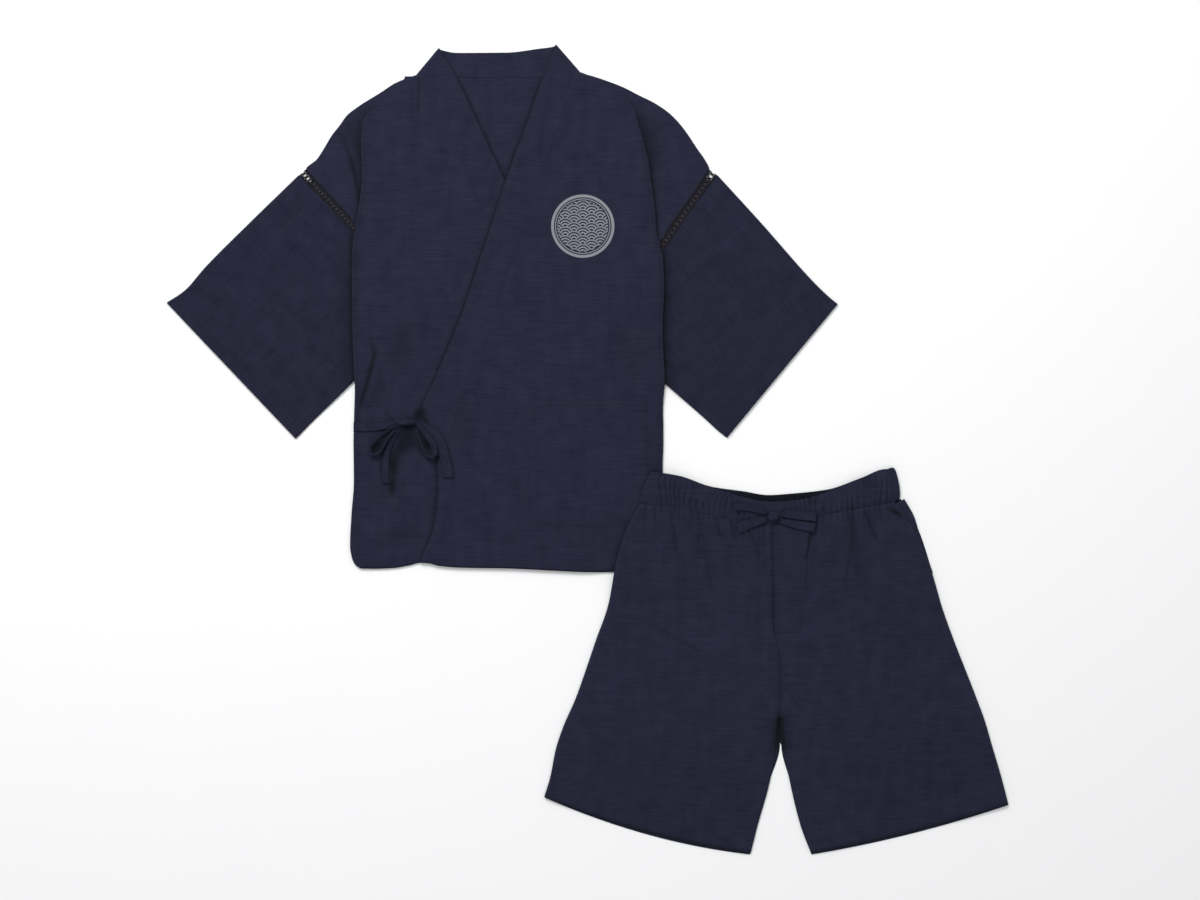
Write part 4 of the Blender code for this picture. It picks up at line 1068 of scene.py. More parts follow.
def besideBody(x, y):
    # the shade on a sleeve next to the body's side
    right = rightFront["at"]["edge"](y) - x
    left = x - leftFront["at"]["edge"](y)
    held = smooth((y - 250) / 16) * smooth((500 - y) / 24)
    low = smooth((430 - y) / 40)
    shadeRight = deepest(0.85 * np.exp(-((np.maximum(right, 0) / 4.5) ** 2)),
                         0.42 * np.exp(-((np.maximum(right, 0) / (9 + 9 * low)) ** 2)))
    shadeLeft = deepest(0.85 * np.exp(-((np.maximum(left, 0) / (5.5 + 2.5 * low)) ** 2)),
                        0.24 * np.exp(-((np.maximum(left, 0) / 15) ** 2)))
    return np.where(x < 0, shadeRight, shadeLeft) * held


def sleeveMesh(form, steps=98, across=88):
    at = np.linspace(0, 1, steps)[:, None]
    share = (1 - np.cos(np.linspace(0, 1, across) * math.pi)) / 2 * 0.25 + np.linspace(0, 1, across) * 0.75
    inner = share[1:-1][None, :]
    xt, yt, zt = sleeveTop(form, at, inner)
    xb, yb = sleevePoint(form, at, inner)
    zb = sleeveFloor(xb) + 0.06 + 0.05 * (1 + drift(xb, yb, 50, form["seed"] + 4))
    parts = [(xb, yb, zb)]
    for end, order in ((1.0, (0.25, 0.75)), (0.0, (0.75, 0.25))):
        x, y = sleevePoint(form, at, np.full((1, 1), end))
        other = sleevePoint(form, at, np.full((1, 1), 0.5))
        high = sleeveTop(form, at, np.full((1, 1), 0.01 if end == 0 else 0.99))[2]
        low = sleeveFloor(x) + 0.06
        away = np.array([x - other[0], y - other[1]])
        away = away / np.linalg.norm(away, axis=0)
        for rise in order:
            bow = 0.5 * math.sin(math.pi * rise)
            parts.append((x + away[0] * (bow - 0.45), y + away[1] * (bow - 0.45), low + (high - low) * rise))
        if end == 1.0:
            parts.append((xt[:, ::-1], yt[:, ::-1], zt[:, ::-1]))
    xs, ys, zs = (np.hstack([part[k] for part in parts]) for k in range(3))
    xs, ys, zs = (np.hstack([values, values[:, :1]]) for values in (xs, ys, zs))
    dark = deepest(besideBody(xs, ys), creaseShade(xs, ys, form["creases"]))
    return sheetMesh(xs, ys, zs, top, closed=True, paintedShade=dark)


for name, form in sleeves.items():
    made = piece("sleeve" + name.title(), sleeveMesh(form), finishes[form["finish"]], form["node"], 0.8, -1)
print("sleeves laid")


# openwork at the armholes: two braided rails with crossing threads between them

lace = {
    "right": ((-291.9, 569.9), (-209.5, 481.1)),
    "left": ((300.1, 569.9), (219.8, 455.0)),
    "open": {"right": 3.6, "left": 1.4},  # crossings that show the floor, from the shoulder
    "half": 5.2,
    "rail": 1.15,
    "twist": 4.2,
    "thread": 0.56,
    "crossings": 20,
    "rise": {"back": 1.1, "front": 2.12},
}


def laceLine(side):
    # where the band starts at the shoulder, its direction and its length
    (x1, y1), (x2, y2) = lace[side]
    length = math.hypot(x2 - x1, y2 - y1)
    return x1, y1, (x2 - x1) / length, (y2 - y1) / length, length


def laceMesh(side, layer):
    x1, y1, ux, uy, length = laceLine(side)
    rise = lace["rise"][layer]

    def at(run, aside, up):
        x, y = x1 + ux * run + uy * aside, y1 + uy * run - ux * aside
        return x, y, float(sleeveFloor(np.array(x))) + rise + up

    meshes = []
    steps = np.linspace(0.3, length - 0.3, 130)
    for sign in (-1, 1):
        middle = sign * lace["half"]
        for phase in (0, math.pi):  # two strands twisted round each other
            wave = steps * 2 * math.pi / lace["twist"] + phase
            line = [at(s, middle + 0.5 * math.sin(w), 0.35 * math.cos(w)) for s, w in zip(steps, wave)]
            meshes.append(tube(line, lace["rail"] * 0.7, top, 5))
        line = [at(s, sign * (lace["half"] + 1.3), -0.2) for s in steps[::4]]  # the edge caught in the seam
        meshes.append(tube(line, 0.8, top, 5))
    pitch = length / lace["crossings"]
    # below the shoulder the band is drawn together, and the far layer lies half a gap along
    shifts = (0, 1) if layer == "front" else (0.5, 1.5)
    for phase in shifts:
        for twin in (-0.5, 0.5):
            line = []
            for s in np.linspace(0.8, length - 0.8, lace["crossings"] * 9):
                turn = s / pitch + phase
                if s < 3.8 * pitch:
                    turn = s / pitch + phase % 1 * smooth((s / pitch - 2.2) / 1.6) + phase // 1
                swing = 2 * abs((turn % 2) - 1) - 1
                swing = math.sin(swing * math.pi / 2) * 0.25 + swing * 0.75
                aside = swing * lace["half"] + twin * 0.35
                line.append(at(s + twin * 0.5, aside, 0.25 * math.cos(turn * math.pi)))
            meshes.append(tube(line, lace["thread"], top, 5))
    for k in range(lace["crossings"]):  # the threads are bound where they cross
        middle = (k + 0.5) * pitch
        line = [at(middle + d, 0.0, 0.15) for d in (-1.1, -0.4, 0.4, 1.1)]
        meshes.append(tube(line, 1.15, top, 6))
    return joined(meshes)


def shadeNetMesh(side):
    # painted shade: close dark threads behind the openwork, below its open crossings, so that its holes read
    # dark
    x1, y1, ux, uy, length = laceLine(side)
    start = lace["open"][side] * length / lace["crossings"]
    meshes = []
    for aside in (-4.6, -3.1, -1.55, 0.0, 1.55, 3.1, 4.6):
        line = []
        for s in np.linspace(start + abs(aside) * 0.8, length - 0.4, 70):
            sway = aside + 0.35 * math.sin(s * 1.1 + aside)
            x, y = x1 + ux * s + uy * sway, y1 + uy * s - ux * sway
            line.append((x, y, float(sleeveFloor(np.array(x))) + 1.12 + 0.12 * math.cos(s * 1.1 + aside)))
        meshes.append(tube(line, 0.95, top, 5))
    return joined(meshes)


for side in ("right", "left"):
    for layer in lace["rise"]:
        made = piece(f"lace{side.title()}{layer.title()}", laceMesh(side, layer), finishes["lace"],
                     f"top_openwork_{side}_{layer}")
    # painted shade: dark threads so that the openwork's holes read dark
    piece(f"laceShadeNet{side.title()}", shadeNetMesh(side), finishes["throughLaceShade"])
print("lace made")


# the patch pocket

pocket = {
    "low": 59,
    "high": 241,
    "mouth": 227.0,  # its stitching
    "width": 170,
    "at": columns("y left right", [(59, 32, 206), (120, 35, 206), (180, 38, 206), (241, 39, 206)]),
}


def pocketMesh():
    y = np.linspace(pocket["low"], pocket["high"], 84)[:, None]
    left, right = pocket["at"]["left"](y), pocket["at"]["right"](y)
    share = np.linspace(0, 1, 80)[None, :]
    x = left + (right - left) * share
    toEnds = np.minimum(y - pocket["low"], pocket["high"] - y + 8)
    edge = np.minimum(np.minimum(share, 1 - share) * pocket["width"], toEnds)
    z = leftHeight(x, y) + leftDetail(x, y) + cloth["solid"] - 0.78 + 0.85 * smooth(edge / 12)
    mouth = 0.45 * smooth((y - 215) / 25) * np.sin(math.pi * share) ** 0.6  # the mouth stands a little open
    turnedIn = 0.18 * smooth((y - pocket["mouth"] + 0.5) / 1.5)
    return sheetMesh(x, y, z + mouth + turnedIn, top)


made = piece("pocket", pocketMesh(), finishes["body"], "top_pocket", cloth["wall"], 1, 0.4)


# ties and drawstring: folded tapes, each row a middle point, a half width and the two edges' heights

crossing = columns(  # the over front's free edge, and where it is sewn to the collar
    "y front seam",
    [
        (0, -122, -122),
        (32, -112, -112),
        (59, -104, -104),
        (118, -97.5, -97.5),
        (158, -100, -94),
        (177, -104.5, -85),
        (200, -113, -77.5),
        (230, -121, -69.5),
        (271, -103, -55),
    ],
)


def topLayers(x, y):
    front, seam = crossing["front"](y), crossing["seam"](y)
    low = rightHeight(x, y) + cloth["solid"]
    high = leftHeight(x, y) + cloth["solid"]
    return np.where(x < front, low, np.where((y > 158) & (x <= seam), 6.9, high))


def topSurface(x, y):
    # a tape lies on the highest layer below its width
    return np.maximum(np.maximum(topLayers(x - 7, y), topLayers(x, y)), topLayers(x + 7, y))


tapeWall = 1.35
tapes = {
    "tieSide": ("tie_side", [
        (-217.6, 203, 0, 6.5, 0.2, 0.2),
        (-204, 203, 0, 6.5, 0.3, 0.3),
        (-187, 203, 0.5, 6.0, 0.6, 1.0),
        (-172, 204.5, 1.0, 5.0, 1.0, 2.4),
        (-157, 206.5, 1.0, 4.0, 1.6, 4.0),
    ]),
    "loopRight": ("tie_loop_right", [
        (-152, 206, -0.8, 1.9, 2.6, 7.0),
        (-164, 198.6, -1.4, 2.0, 1.2, 8.6),
        (-176, 189.4, -1.7, 1.9, 0.5, 9.4),
        (-186.4, 180, -1.9, 1.5, 0.4, 9.2),
        (-192.3, 171.5, -2.0, 0.6, 0.3, 8.4),
        (-191.5, 165, -0.9, -1.6, 0.3, 7.6),
        (-185.5, 164, 0.9, -1.8, 1.0, 7.6),
        (-179, 168.5, 1.4, -1.3, 2.2, 8.0),
        (-173.9, 177, 1.6, -0.9, 3.2, 8.4),
        (-167.5, 187.8, 1.7, -0.8, 3.6, 8.2),
        (-157, 199.5, 1.2, -0.8, 3.8, 7.2),
    ]),
    "loopLeft": ("tie_loop_left", [
        (-127, 207.6, 1.2, 2.0, 2.6, 5.6),
        (-118.5, 199, 2.6, 2.2, 3.2, 6.8),
        (-110, 187.5, 3.6, 1.8, 3.4, 7.0),
        (-102.6, 176, 4.4, 1.0, 3.4, 7.0),
        (-100.6, 166.5, 4.2, -0.6, 3.0, 6.8),
        (-104.5, 160.6, 1.0, -2.2, 1.6, 7.4),
        (-112, 163, -1.2, -1.6, 1.0, 8.2),
        (-117, 172, -1.5, -0.8, 1.0, 8.4),
        (-121.5, 184, -1.5, -0.6, 1.2, 8.4),
        (-126.5, 198, -1.3, -0.5, 2.6, 7.4),
    ]),
    "endRight": ("tie_end_right", [
        (-153.5, 198.5, -2.6, 1.2, 0.2, 1.6),
        (-160.5, 188, -3.3, 1.2, 0.2, 1.6),
        (-166, 177, -3.8, 0.9, 0.3, 1.6),
        (-170.2, 160, -4.2, 0.4, 0.3, 1.8),
        (-171.6, 142, -4.3, 0, 0.3, 1.8),
        (-171, 122, -4.4, -0.3, 0.3, 1.6),
    ]),
    "endLeft": ("tie_end_left", [
        (-121, 209.0, 2.0, 2.6, 0.2, 0.6),
        (-107, 198.5, 4.4, 4.0, 0.1, 0.8),
        (-96, 186.5, 6.0, 3.4, 0.1, 1.0),
        (-89.5, 172, 6.8, 2.2, 0.1, 1.2),
        (-85.5, 156, 7.2, 1.4, 0.2, 1.2),
        (-82.5, 141, 7.6, 0.8, 0.2, 1.0),
        (-81.5, 130, 7.8, 0.2, 0.2, 0.8),
    ]),
    "stringLoopRight": ("drawstring_loop_right", [
        (-12.5, 491, 0.5, 2.6, 0.4, 2.4),
        (-26, 496, -1.5, 5.0, 0.6, 2.0),
        (-44, 500, -1.0, 5.4, 0.6, 1.2),
        (-58, 500, -0.4, 4.8, 0.5, 1.0),
    ]),
    "stringLoopLeft": ("drawstring_loop_left", [
        (7, 489.5, -0.5, 2.6, 0.4, 2.6),
        (18, 489, 0.2, 5.4, 1.6, 2.6),
        (38, 487.5, 0.2, 6.4, 2.2, 2.6),
        (58, 485.5, 0.2, 6.4, 2.0, 2.2),
    ]),
    "stringEndRight": ("drawstring_end_right", [
        (-12, 483, -0.4, 3.2, 0.1, 0.8),
        (-26, 479, -1.0, 6.0, 0.1, 0.4),
        (-42, 474, -1.6, 7.0, 0.1, 0.3),
        (-54, 469.5, -2.4, 7.2, 0.1, 0.3),
    ]),
    "stringEndLeft": ("drawstring_end_left", [
        (7, 479.5, 0.6, 3.0, 0.1, 0.4),
        (22, 476.5, 0.6, 5.6, 0.1, 0.2),
        (40, 473, 1.0, 6.4, 0.1, 0.2),
        (57, 470.5, 1.2, 6.6, 0.1, 0.2),
    ]),
}


def tapeMesh(rows, ground, garment, seed):
    rows, run = stretchAlong(rows, 1.6)
    x, y, ax, ay, low, high = (rows[:, k:k + 1] for k in range(6))
    base = np.maximum(np.maximum(ground(x - ax, y - ay), ground(x + ax, y + ay)), ground(x, y))
    share = np.array([0, 0.03, 0.1, 0.22, 0.36, 0.5, 0.64, 0.78, 0.9, 0.97, 1.0])[None, :]
    xs, ys = x + ax * (2 * share - 1), y + ay * (2 * share - 1)
    soft = 0.22 * drift(run[:, None] + 0 * share, share * 12, (9, 6), seed) + 0.3 * np.sin(math.pi * share)
    zs = base + cloth["gap"] + 0.8 + low + (high - low) * share + soft
    # painted shade: darker towards the low edge of a steep tape, and along both its edges
    steep = smooth((np.abs(high - low) - 1.5) / 4.0)
    down = np.where(high > low, share, 1 - share)
    dark = deepest(0.9 * steep * (1 - smooth((down - 0.1) / 0.62)), 0.35 * np.exp(-((share / 0.06) ** 2)),
                   0.35 * np.exp(-(((1 - share) / 0.06) ** 2)))
    return sheetMesh(xs, ys, zs, garment, paintedShade=dark)


# shorts

legs = {
    "frontRight": {
        "rows": columns(
            "at sx sy ix iy bow",
            [
                (0.0, -332.5, 82.5, -35.5, 1.5, 10),
                (0.07, -324, 110, -25, 43, 8),
                (0.17, -315.5, 152, -9, 100, 4),
                (0.27, -304, 186, 0.5, 150, 2),
                (0.37, -288, 222, 4.5, 196, 0),
                (0.47, -275, 258, 7.5, 236, 0),
                (0.57, -258, 308, 5.5, 283, 0),
                (0.7, -240, 360, -2.5, 333, 0),
                (0.82, -229.5, 418, -4.2, 385, 0),
                (0.87, -222, 445, -4.8, 415, 1),
                (0.93, -212.5, 470, -5.5, 440, 1),
                (0.97, -203, 488, -6, 459, 0),
                (1.0, -194, 502.2, -7, 472.6, 0),
            ],
        ),
        "node": "shorts_front_right",
        "seed": 61,
    },
    "frontLeft": {
        "rows": columns(
            "at sx sy ix iy bow",
            [
                (0.0, 335.5, 71.5, 51.5, 1.5, 5),
                (0.07, 325, 112, 36, 43, 4),
                (0.17, 312, 156, 22, 100, 2),
                (0.27, 301.5, 192, 13, 150, 1),
                (0.37, 289, 226, 8.2, 196, 0),
                (0.47, 275, 262, 8.3, 236, 0),
                (0.57, 258, 305, 6.3, 283, 0),
                (0.7, 240, 355, -1.7, 333, 0),
                (0.82, 224, 409, -3.8, 385, 0),
                (0.87, 212, 436, -4.5, 415, 0),
                (0.93, 199, 461, -5.5, 440, 0),
                (0.97, 184, 484, -6, 459, 0),
                (1.0, 170, 501, -6.2, 472.6, 0),
            ],
        ),
        "node": "shorts_front_left",
        "seed": 67,
    },
    "backRight": {
        "rows": columns(
            "at sx sy ix iy bow",
            [
                (0.0, -331, 81, -36.5, -0.5, 12),
                (0.07, -322.5, 110, -26, 43, 9),
                (0.17, -314, 152, -10, 100, 4),
                (0.29, -302.5, 186, 6.8, 157, 2),
                (0.37, -286.5, 222, 7.2, 196, 0),
                (0.47, -273.5, 258, 7.5, 236, 0),
                (0.57, -256.5, 308, 5.5, 283, 0),
                (0.7, -238.5, 360, -2.5, 333, 0),
                (0.83, -226.5, 425, -4.5, 395, 0),
                (0.92, -211.5, 470, -5.5, 440, 1),
                (1.0, -193, 502.2, -7, 472.6, 0),
            ],
        ),
        "node": "shorts_back_right",
        "seed": 71,
    },
    "backLeft": {
        "rows": columns(
            "at sx sy ix iy bow",
            [
                (0.0, 334, 70, 52.5, -0.5, 6),
                (0.07, 323.5, 112, 37, 43, 4),
                (0.17, 310.5, 156, 23, 100, 2),
                (0.29, 299.5, 192, 8.8, 157, 1),
                (0.37, 287.5, 226, 8.2, 196, 0),
                (0.47, 273.5, 262, 8.3, 236, 0),
                (0.57, 256.5, 305, 6.3, 283, 0),
                (0.7, 238.5, 355, -1.7, 333, 0),
                (0.83, 222, 420, -3.8, 395, 0),
                (0.92, 204.5, 470, -4.8, 440, 0),
                (1.0, 181, 508.8, -6.2, 472.6, 0),
            ],
        ),
        "node": "shorts_back_left",
        "seed": 73,
    },
}
crotch = {"front": 196.0, "back": 157.0}
legSeams = {"side": 9.0, "inner": 6.0, "hem": 0.05}  # stitching: in from two edges, and a share of the way up
centreSeam = columns(
    "y x",
    [(150, 6.2), (196, 6.4), (236, 7.9), (283, 6.0), (333, -2.0), (390, -4.1), (440, -5.0), (474, -6.6)],
)
shortsFolds = [
    (((-165, 498), (-150, 440)), 9, 2.6, 0),
    (((-138, 494), (-134, 412)), 9, -1.4, 0),
    (((-120, 490), (-118, 430)), 9, 2.6, 0),
    (((-96, 488), (-90, 330)), 9, -1.6, 0),
    (((-78, 482), (-66, 420)), 10, 2.4, 0),
    (((-44, 478), (-40, 430)), 9, 1.8, 0),
    (((62, 486), (46, 360)), 8, -1.6, 0),
    (((86, 488), (72, 420)), 11, 3.0, 0),
    (((110, 494), (98, 382)), 8, -1.6, 0),
    (((122, 494), (128, 440)), 9, 2.6, 0),
    (((125, 496), (145, 456)), 6, -1.2, 0),
    (((152, 498), (160, 450)), 9, 2.2, 0),
    (((-181, 330), (-111, 291)), 14, 1.4, 0),
    (((-111, 291), (-60, 303)), 14, 1.2, 0),
    (((20, 300), (125, 323)), 14, 1.4, 0),
    (((25, 180), (60, 120)), 16, 1.6, 0),
    (((-25, 190), (-60, 120)), 16, 1.4, 0),
    (((-230, 250), (-200, 120)), 30, 1.6, 0),
    (((250, 250), (230, 120)), 30, 1.6, 0),
]
shortsCreases = [
    (((-152, 496), (-147, 466), (-140, 428)), 3.4, -1.1, 0.5),
    (((-110, 492), (-107, 470), (-110, 452)), 2.4, -0.7, 0.3),
    (((-88, 490), (-82, 466), (-74, 452)), 2.4, -0.9, 0.4),
    (((-104, 446), (-97, 410), (-90, 372)), 4.0, -0.8, 0.5),
    (((-66, 486), (-60, 466), (-56, 446)), 2.2, -0.8, 0.3),
    (((-44, 474), (-30, 452), (-22, 424)), 2.2, -0.7, 0.4),
    (((-176, 500), (-172, 484), (-170, 470)), 2.4, -0.6, 0.3),
    (((58, 482), (52.8, 460), (46, 434), (39.7, 409)), 3.2, -1.0, 0.6),
    (((112, 496), (112, 452), (99, 384)), 4.6, -1.5, 0.7),
    (((127, 498), (136, 474), (148, 448)), 2.4, -0.95, 0.5),
    (((78, 490), (76, 474), (79, 458)), 2.2, -0.6, 0.3),
    (((146, 504), (152, 486), (156, 474)), 2.4, -0.7, 0.3),
    (((-182, 331), (-146, 312), (-118, 298), (-104, 290)), 2.4, -0.55, 0.45),
    (((127, 330), (104, 318), (70, 312)), 2.6, -0.55, 0.4),
    (((22, 282), (50, 290), (92, 300)), 2.4, -0.45, 0.3),
    (((122, 326), (150, 330), (172, 328)), 2.6, -0.45, 0.3),
    (((16, 236), (26, 222), (40, 206)), 2.4, -0.6, 0.4),
    (((-4, 236), (-12, 222), (-24, 212)), 2.6, -0.45, 0.3),
    (((-60, 392), (-64, 352), (-72, 322)), 8.0, -0.4, 0.3),
    (((150, 412), (160, 372), (158, 330)), 12.0, -0.4, 0.3),
    (((-250, 220), (-236, 196), (-210, 188)), 5.0, -0.3, 0.3),
    (((190, 172), (214, 158), (240, 160)), 5.0, -0.3, 0.3),
    (((-110, 120), (-124, 100), (-128, 70)), 5.0, -0.3, 0.3),
    (((96, 106), (110, 82), (106, 54)), 5.0, -0.3, 0.3),
    (((-40, 380), (-22, 352), (-8, 338)), 3.0, -0.4, 0.3),
    (((-120, 250), (-86, 240), (-60, 246)), 4.0, -0.35, 0.3),
    (((60, 240), (96, 232), (126, 240)), 4.0, -0.35, 0.3),
]
shortsShade = [
    (116, 436, 8, 50, 6, 0.24),
    (190, 330, 60, 60, 0, 0.12),
    (-96, 418, 8, 42, 8, 0.12),
    (190, 110, 110, 100, 0, 0.13),
    (-160, 90, 130, 80, 0, 0.12),
]


def shortsLift(x, y):
    # the shorts climb on to the corner of the top that they cover
    beyond = np.hypot(np.maximum(0.0, x + 163), np.maximum(0.0, 409 - y))
    return 6.0 * (1 - smooth(beyond / 60.0))


def legHeight(x, y, side, inner):
    hang = 3.0 * np.exp(-np.maximum(474.0 - y, 0.0) / 70.0)
    crest = 2.6 * (1 - np.exp(-side / 3)) * np.exp(-side / 55.0)
    crest = crest + 1.3 * (1 - np.exp(-inner / 8)) * np.exp(-inner / 55.0)
    soft = creased(x, y, shortsFolds) * smooth(side / 18) * smooth(inner / 12)
    return shortsLift(x, y) + cloth["onBack"] + np.maximum(hang + crest + soft, 0.1)


def legDetail(x, y, seed):
    return creased(x, y, shortsCreases) + puckered(x, y, seed, 1.2)


band = {
    "front": [  # the upper edge, the seam and the height
        (-178, 550.3, -193.5, 503.4, 3.2),
        (-175.5, 550.5, -190.5, 502.9, 5.0),
        (-166, 549.0, -181, 501.4, 5.9),
        (-137, 543.5, -148, 498.1, 6.3),
        (-101, 530.5, -108, 490.1, 6.1),
        (-58, 517.5, -63, 481.1, 5.9),
        (-7, 507.5, -7, 473.6, 5.8),
        (40, 511.5, 40, 479.1, 5.9),
        (75, 521.5, 75, 488.1, 6.1),
        (122, 540.5, 125, 497.1, 6.3),
        (160, 554, 168, 505.8, 5.9),
        (168.5, 556.8, 175, 509.6, 5.0),
        (172.2, 553.4, 178.4, 511.4, 3.2),
    ],
    "back": [
        (171.6, 553.6, 177.8, 511.4, 1.5),
        (160, 554.5, 168, 509, 1.0),
        (123, 541.5, 125, 498, 1.0),
        (75, 525, 75, 489, 1.0),
        (28, 519.5, 40, 480, 1.0),
        (-10, 517, -7, 474, 1.0),
        (-46, 522.5, -50, 481, 1.0),
        (-91, 529, -100, 490, 1.0),
        (-137, 544.5, -148, 499, 1.0),
        (-166, 549.5, -181, 502.5, 1.0),
        (-175.5, 550.5, -190.5, 503.5, 1.5),
        (-178, 550.3, -193.5, 503.4, 3.2),
    ],
    "middle": columns(
        "x low z",
        [(-101, 490, 6.1), (-58, 481, 5.9), (-7, 473.6, 5.8), (40, 479, 5.9), (75, 488, 6.1)],
    ),
    "height": 44,
    "pleat": 8.4,
}
waist = {  # the band's seam, front and back, and what the legs do there
    "front": through([row[2] for row in band["front"]], [row[3] for row in band["front"]]),
    "back": through([row[2] for row in reversed(band["back"])], [row[3] for row in reversed(band["back"])]),
    "share": 0.2,  # the upper part of a leg that is drawn to the seam
    "lap": 1.2,  # how far the leg reaches under the band
}


def gather(run, share, seed):
    # uneven pleats of the elastic, 0 in the valleys: sharp valleys between rounded ridges,
    # broken up where the rows of elastic cross them
    broken = 1 - 0.55 * smooth((run - 200) / 60)
    phase = run + 4.2 * drift(run, share * 20, (31, 60), seed)
    phase = phase + broken * 3.4 * drift(run, share * band["height"], (16, 11), seed + 1)
    wave = 0.5 - 0.5 * np.cos(2 * math.pi * phase / band["pleat"])
    return wave**0.6 * (1 + 0.55 * drift(run, share * 34, (15, 14), seed + 2))


def bandPleats(x, y, side):
    # small pleats run out of the band down the leg
    fade = np.exp(-np.maximum(waist["front"](x) - y, 0) / (18.0 + 12 * drift(x, 0 * y, 21, 84)))
    return gather(x * 1.02 + 190, 0 * y, 81), fade * smooth(side / 10)


def frontLeg(form, at, x, y, side, inner):
    z = legHeight(x, y, side, inner)
    z = z + legDetail(x, y, form["seed"]) * smooth(side / 6) * smooth(inner / 5)
    pleats, fall = bandPleats(x, y, side)
    z = z + 1.2 * (pleats - 0.6) * fall
    # both are stitched, so the cloth dips there and is doubled beyond
    fromSeam, fromHem = side - legSeams["side"], at - legSeams["hem"]
    z = z - 0.42 * np.exp(-((fromSeam / 1.5) ** 2)) * smooth((0.97 - at) / 0.05)
    z = z + 0.3 * (1 - smooth((fromSeam + 1.0) / 1.6))
    z = z + 0.3 * (1 - smooth((fromHem + 0.005) / 0.006)) - 0.3 * np.exp(-((fromHem / 0.0035) ** 2))
    if form["node"].endswith("left"):
        z = z + 0.25 * (1 - smooth(inner / 7)) * smooth((y - crotch["front"]) / 10)
    return np.maximum(z, shortsLift(x, y) + 1.45)


def frontLegShade(at, x, y, side, inner):
    pleats, fall = bandPleats(x, y, side)
    dark = deepest(creaseShade(x, y, shortsCreases), 0.6 * np.clip(1 - pleats, 0, 1) ** 2 * fall)
    # painted shade at the fork, the centre seam, the hem's edge and the pocket's mouth below the band
    fork = smooth((214 - y) / 20) * smooth((y - 140) / 20)
    seamed = smooth((y - 200) / 12) * smooth((470 - y) / 8) * (0.34 + 0.2 * smooth((y - 330) / 30))
    return deepest(
        dark * smooth(inner / 4),
        shaded(x, y, shortsShade),
        0.9 * fork * np.exp(-((inner / 4.2) ** 2)),
        0.4 * fork * np.exp(-((inner / 11.0) ** 2)),
        seamed * np.exp(-((inner / 1.6) ** 2)),
        0.7 * (1 - smooth(at / 0.010)),
        0.9 * shaded(x, y, [(173, 492, 12, 3.6, -33, 1.0)]),
    )


def legMesh(form, layer):
    front, onLeft = layer == "front", form["node"].endswith("left")
    steps, across = (156, 116) if front else (70, 50)
    at = np.linspace(0, 1, steps)[:, None]
    sx, sy, ix, iy, bow = (form["rows"][name](at) for name in ("sx", "sy", "ix", "iy", "bow"))
    aside = -0.7 if onLeft else 0.3  # the left leg laps the right one, so no floor shows
    ix = np.where(iy >= crotch[layer], centreSeam["x"](iy) + aside, ix)
    even = np.linspace(0, 1, across)[None, :]
    share = even * 0.8 + 0.2 * (1 - np.cos(even * math.pi)) / 2 if front else even
    x = sx + (ix - sx) * share
    y = sy + (iy - sy) * share - bow * 4 * share * (1 - share)
    topX, topY = sx[-1] + (ix[-1] - sx[-1]) * share, sy[-1] + (iy[-1] - sy[-1]) * share
    drawn = smooth((at - 1 + waist["share"]) / waist["share"])
    y = y + drawn * (waist[layer](topX) + (waist["lap"] if front else -0.3) - topY)
    width = np.hypot(ix - sx, iy - sy)
    side, inner = width * share, width * (1 - share)
    if front:
        z = frontLeg(form, at, x, y, side, inner) + cloth["rise"]
        dark = frontLegShade(at, x, y, side, inner)
    else:
        swell = 0.06 * drift(x, y, 55, form["seed"]) + 0.05 * drift(x, y, (30, 9), form["seed"] + 1)
        z = np.maximum(shortsLift(x, y) + 0.10 + swell, 0.01)
        # painted shade at the fork between the front legs and at the pocket's mouth
        dark = shaded(x, y, [(7.5, 186, 14, 40, 0, 1.0), (176, 500, 16, 9, -33, 0.9)])
    x, y, z, dark = np.broadcast_arrays(x, y, z, dark)
    if onLeft:
        x, y, z, dark = (values[:, ::-1] for values in (x, y, z, dark))
    return sheetMesh(x, y, z, shorts, paintedShade=dark)


for name, form in legs.items():
    mesh = legMesh(form, "front" if name.startswith("front") else "back")
    title = "leg" + name[0].upper() + name[1:]
    made = piece(title, mesh, finishes["legs"], form["node"], cloth["wall"], 1, 0.35)
print("legs laid")

facing = columns(
    "at sx sy ix iy",
    [
        (0.0, 227, 405, 196, 397),
        (0.25, 219, 428, 186, 418),
        (0.5, 208.5, 458, 172, 442),
        (0.75, 200, 486, 156, 466),
        (1.0, 185.5, 511.5, 142, 490),
    ],
)


def facingMesh():
    at = np.linspace(0, 1, 50)[:, None]
    share = np.linspace(1, 0, 26)[None, :]
    sx, sy, ix, iy = (facing[name](at) for name in ("sx", "sy", "ix", "iy"))
    x, y = sx + (ix - sx) * share, sy + (iy - sy) * share
    z = 1.5 + 0.6 * smooth(share * 4) * at + 0.12 * drift(x, y, 16, 77)
    z = z + 2.4 * smooth((at - 0.78) / 0.22)  # it rises to the band
    # painted shade at the pocket's mouth
    dark = 0.9 * shaded(x, y, [(173, 492, 14, 5.5, -33, 1.0)])
    return sheetMesh(x, y, np.maximum(z, 1.45), shorts, paintedShade=dark)


made = piece("pocketFacing", facingMesh(), finishes["band"], "shorts_pocket_facing", 0.85, 1, 0.4)

fly = {
    "foot": 318,
    "at": columns("y left right", [(318, -0.5, 36), (360, -2, 44), (425, -3.4, 46), (468, -4.6, 52)]),
}


def flyHeight(x, y):
    # the leg below the facing, with no dip at the centre seam
    left = fly["at"]["left"](y)
    return legHeight(x, y, 240 - x, np.maximum(x - left, 0) + 2)


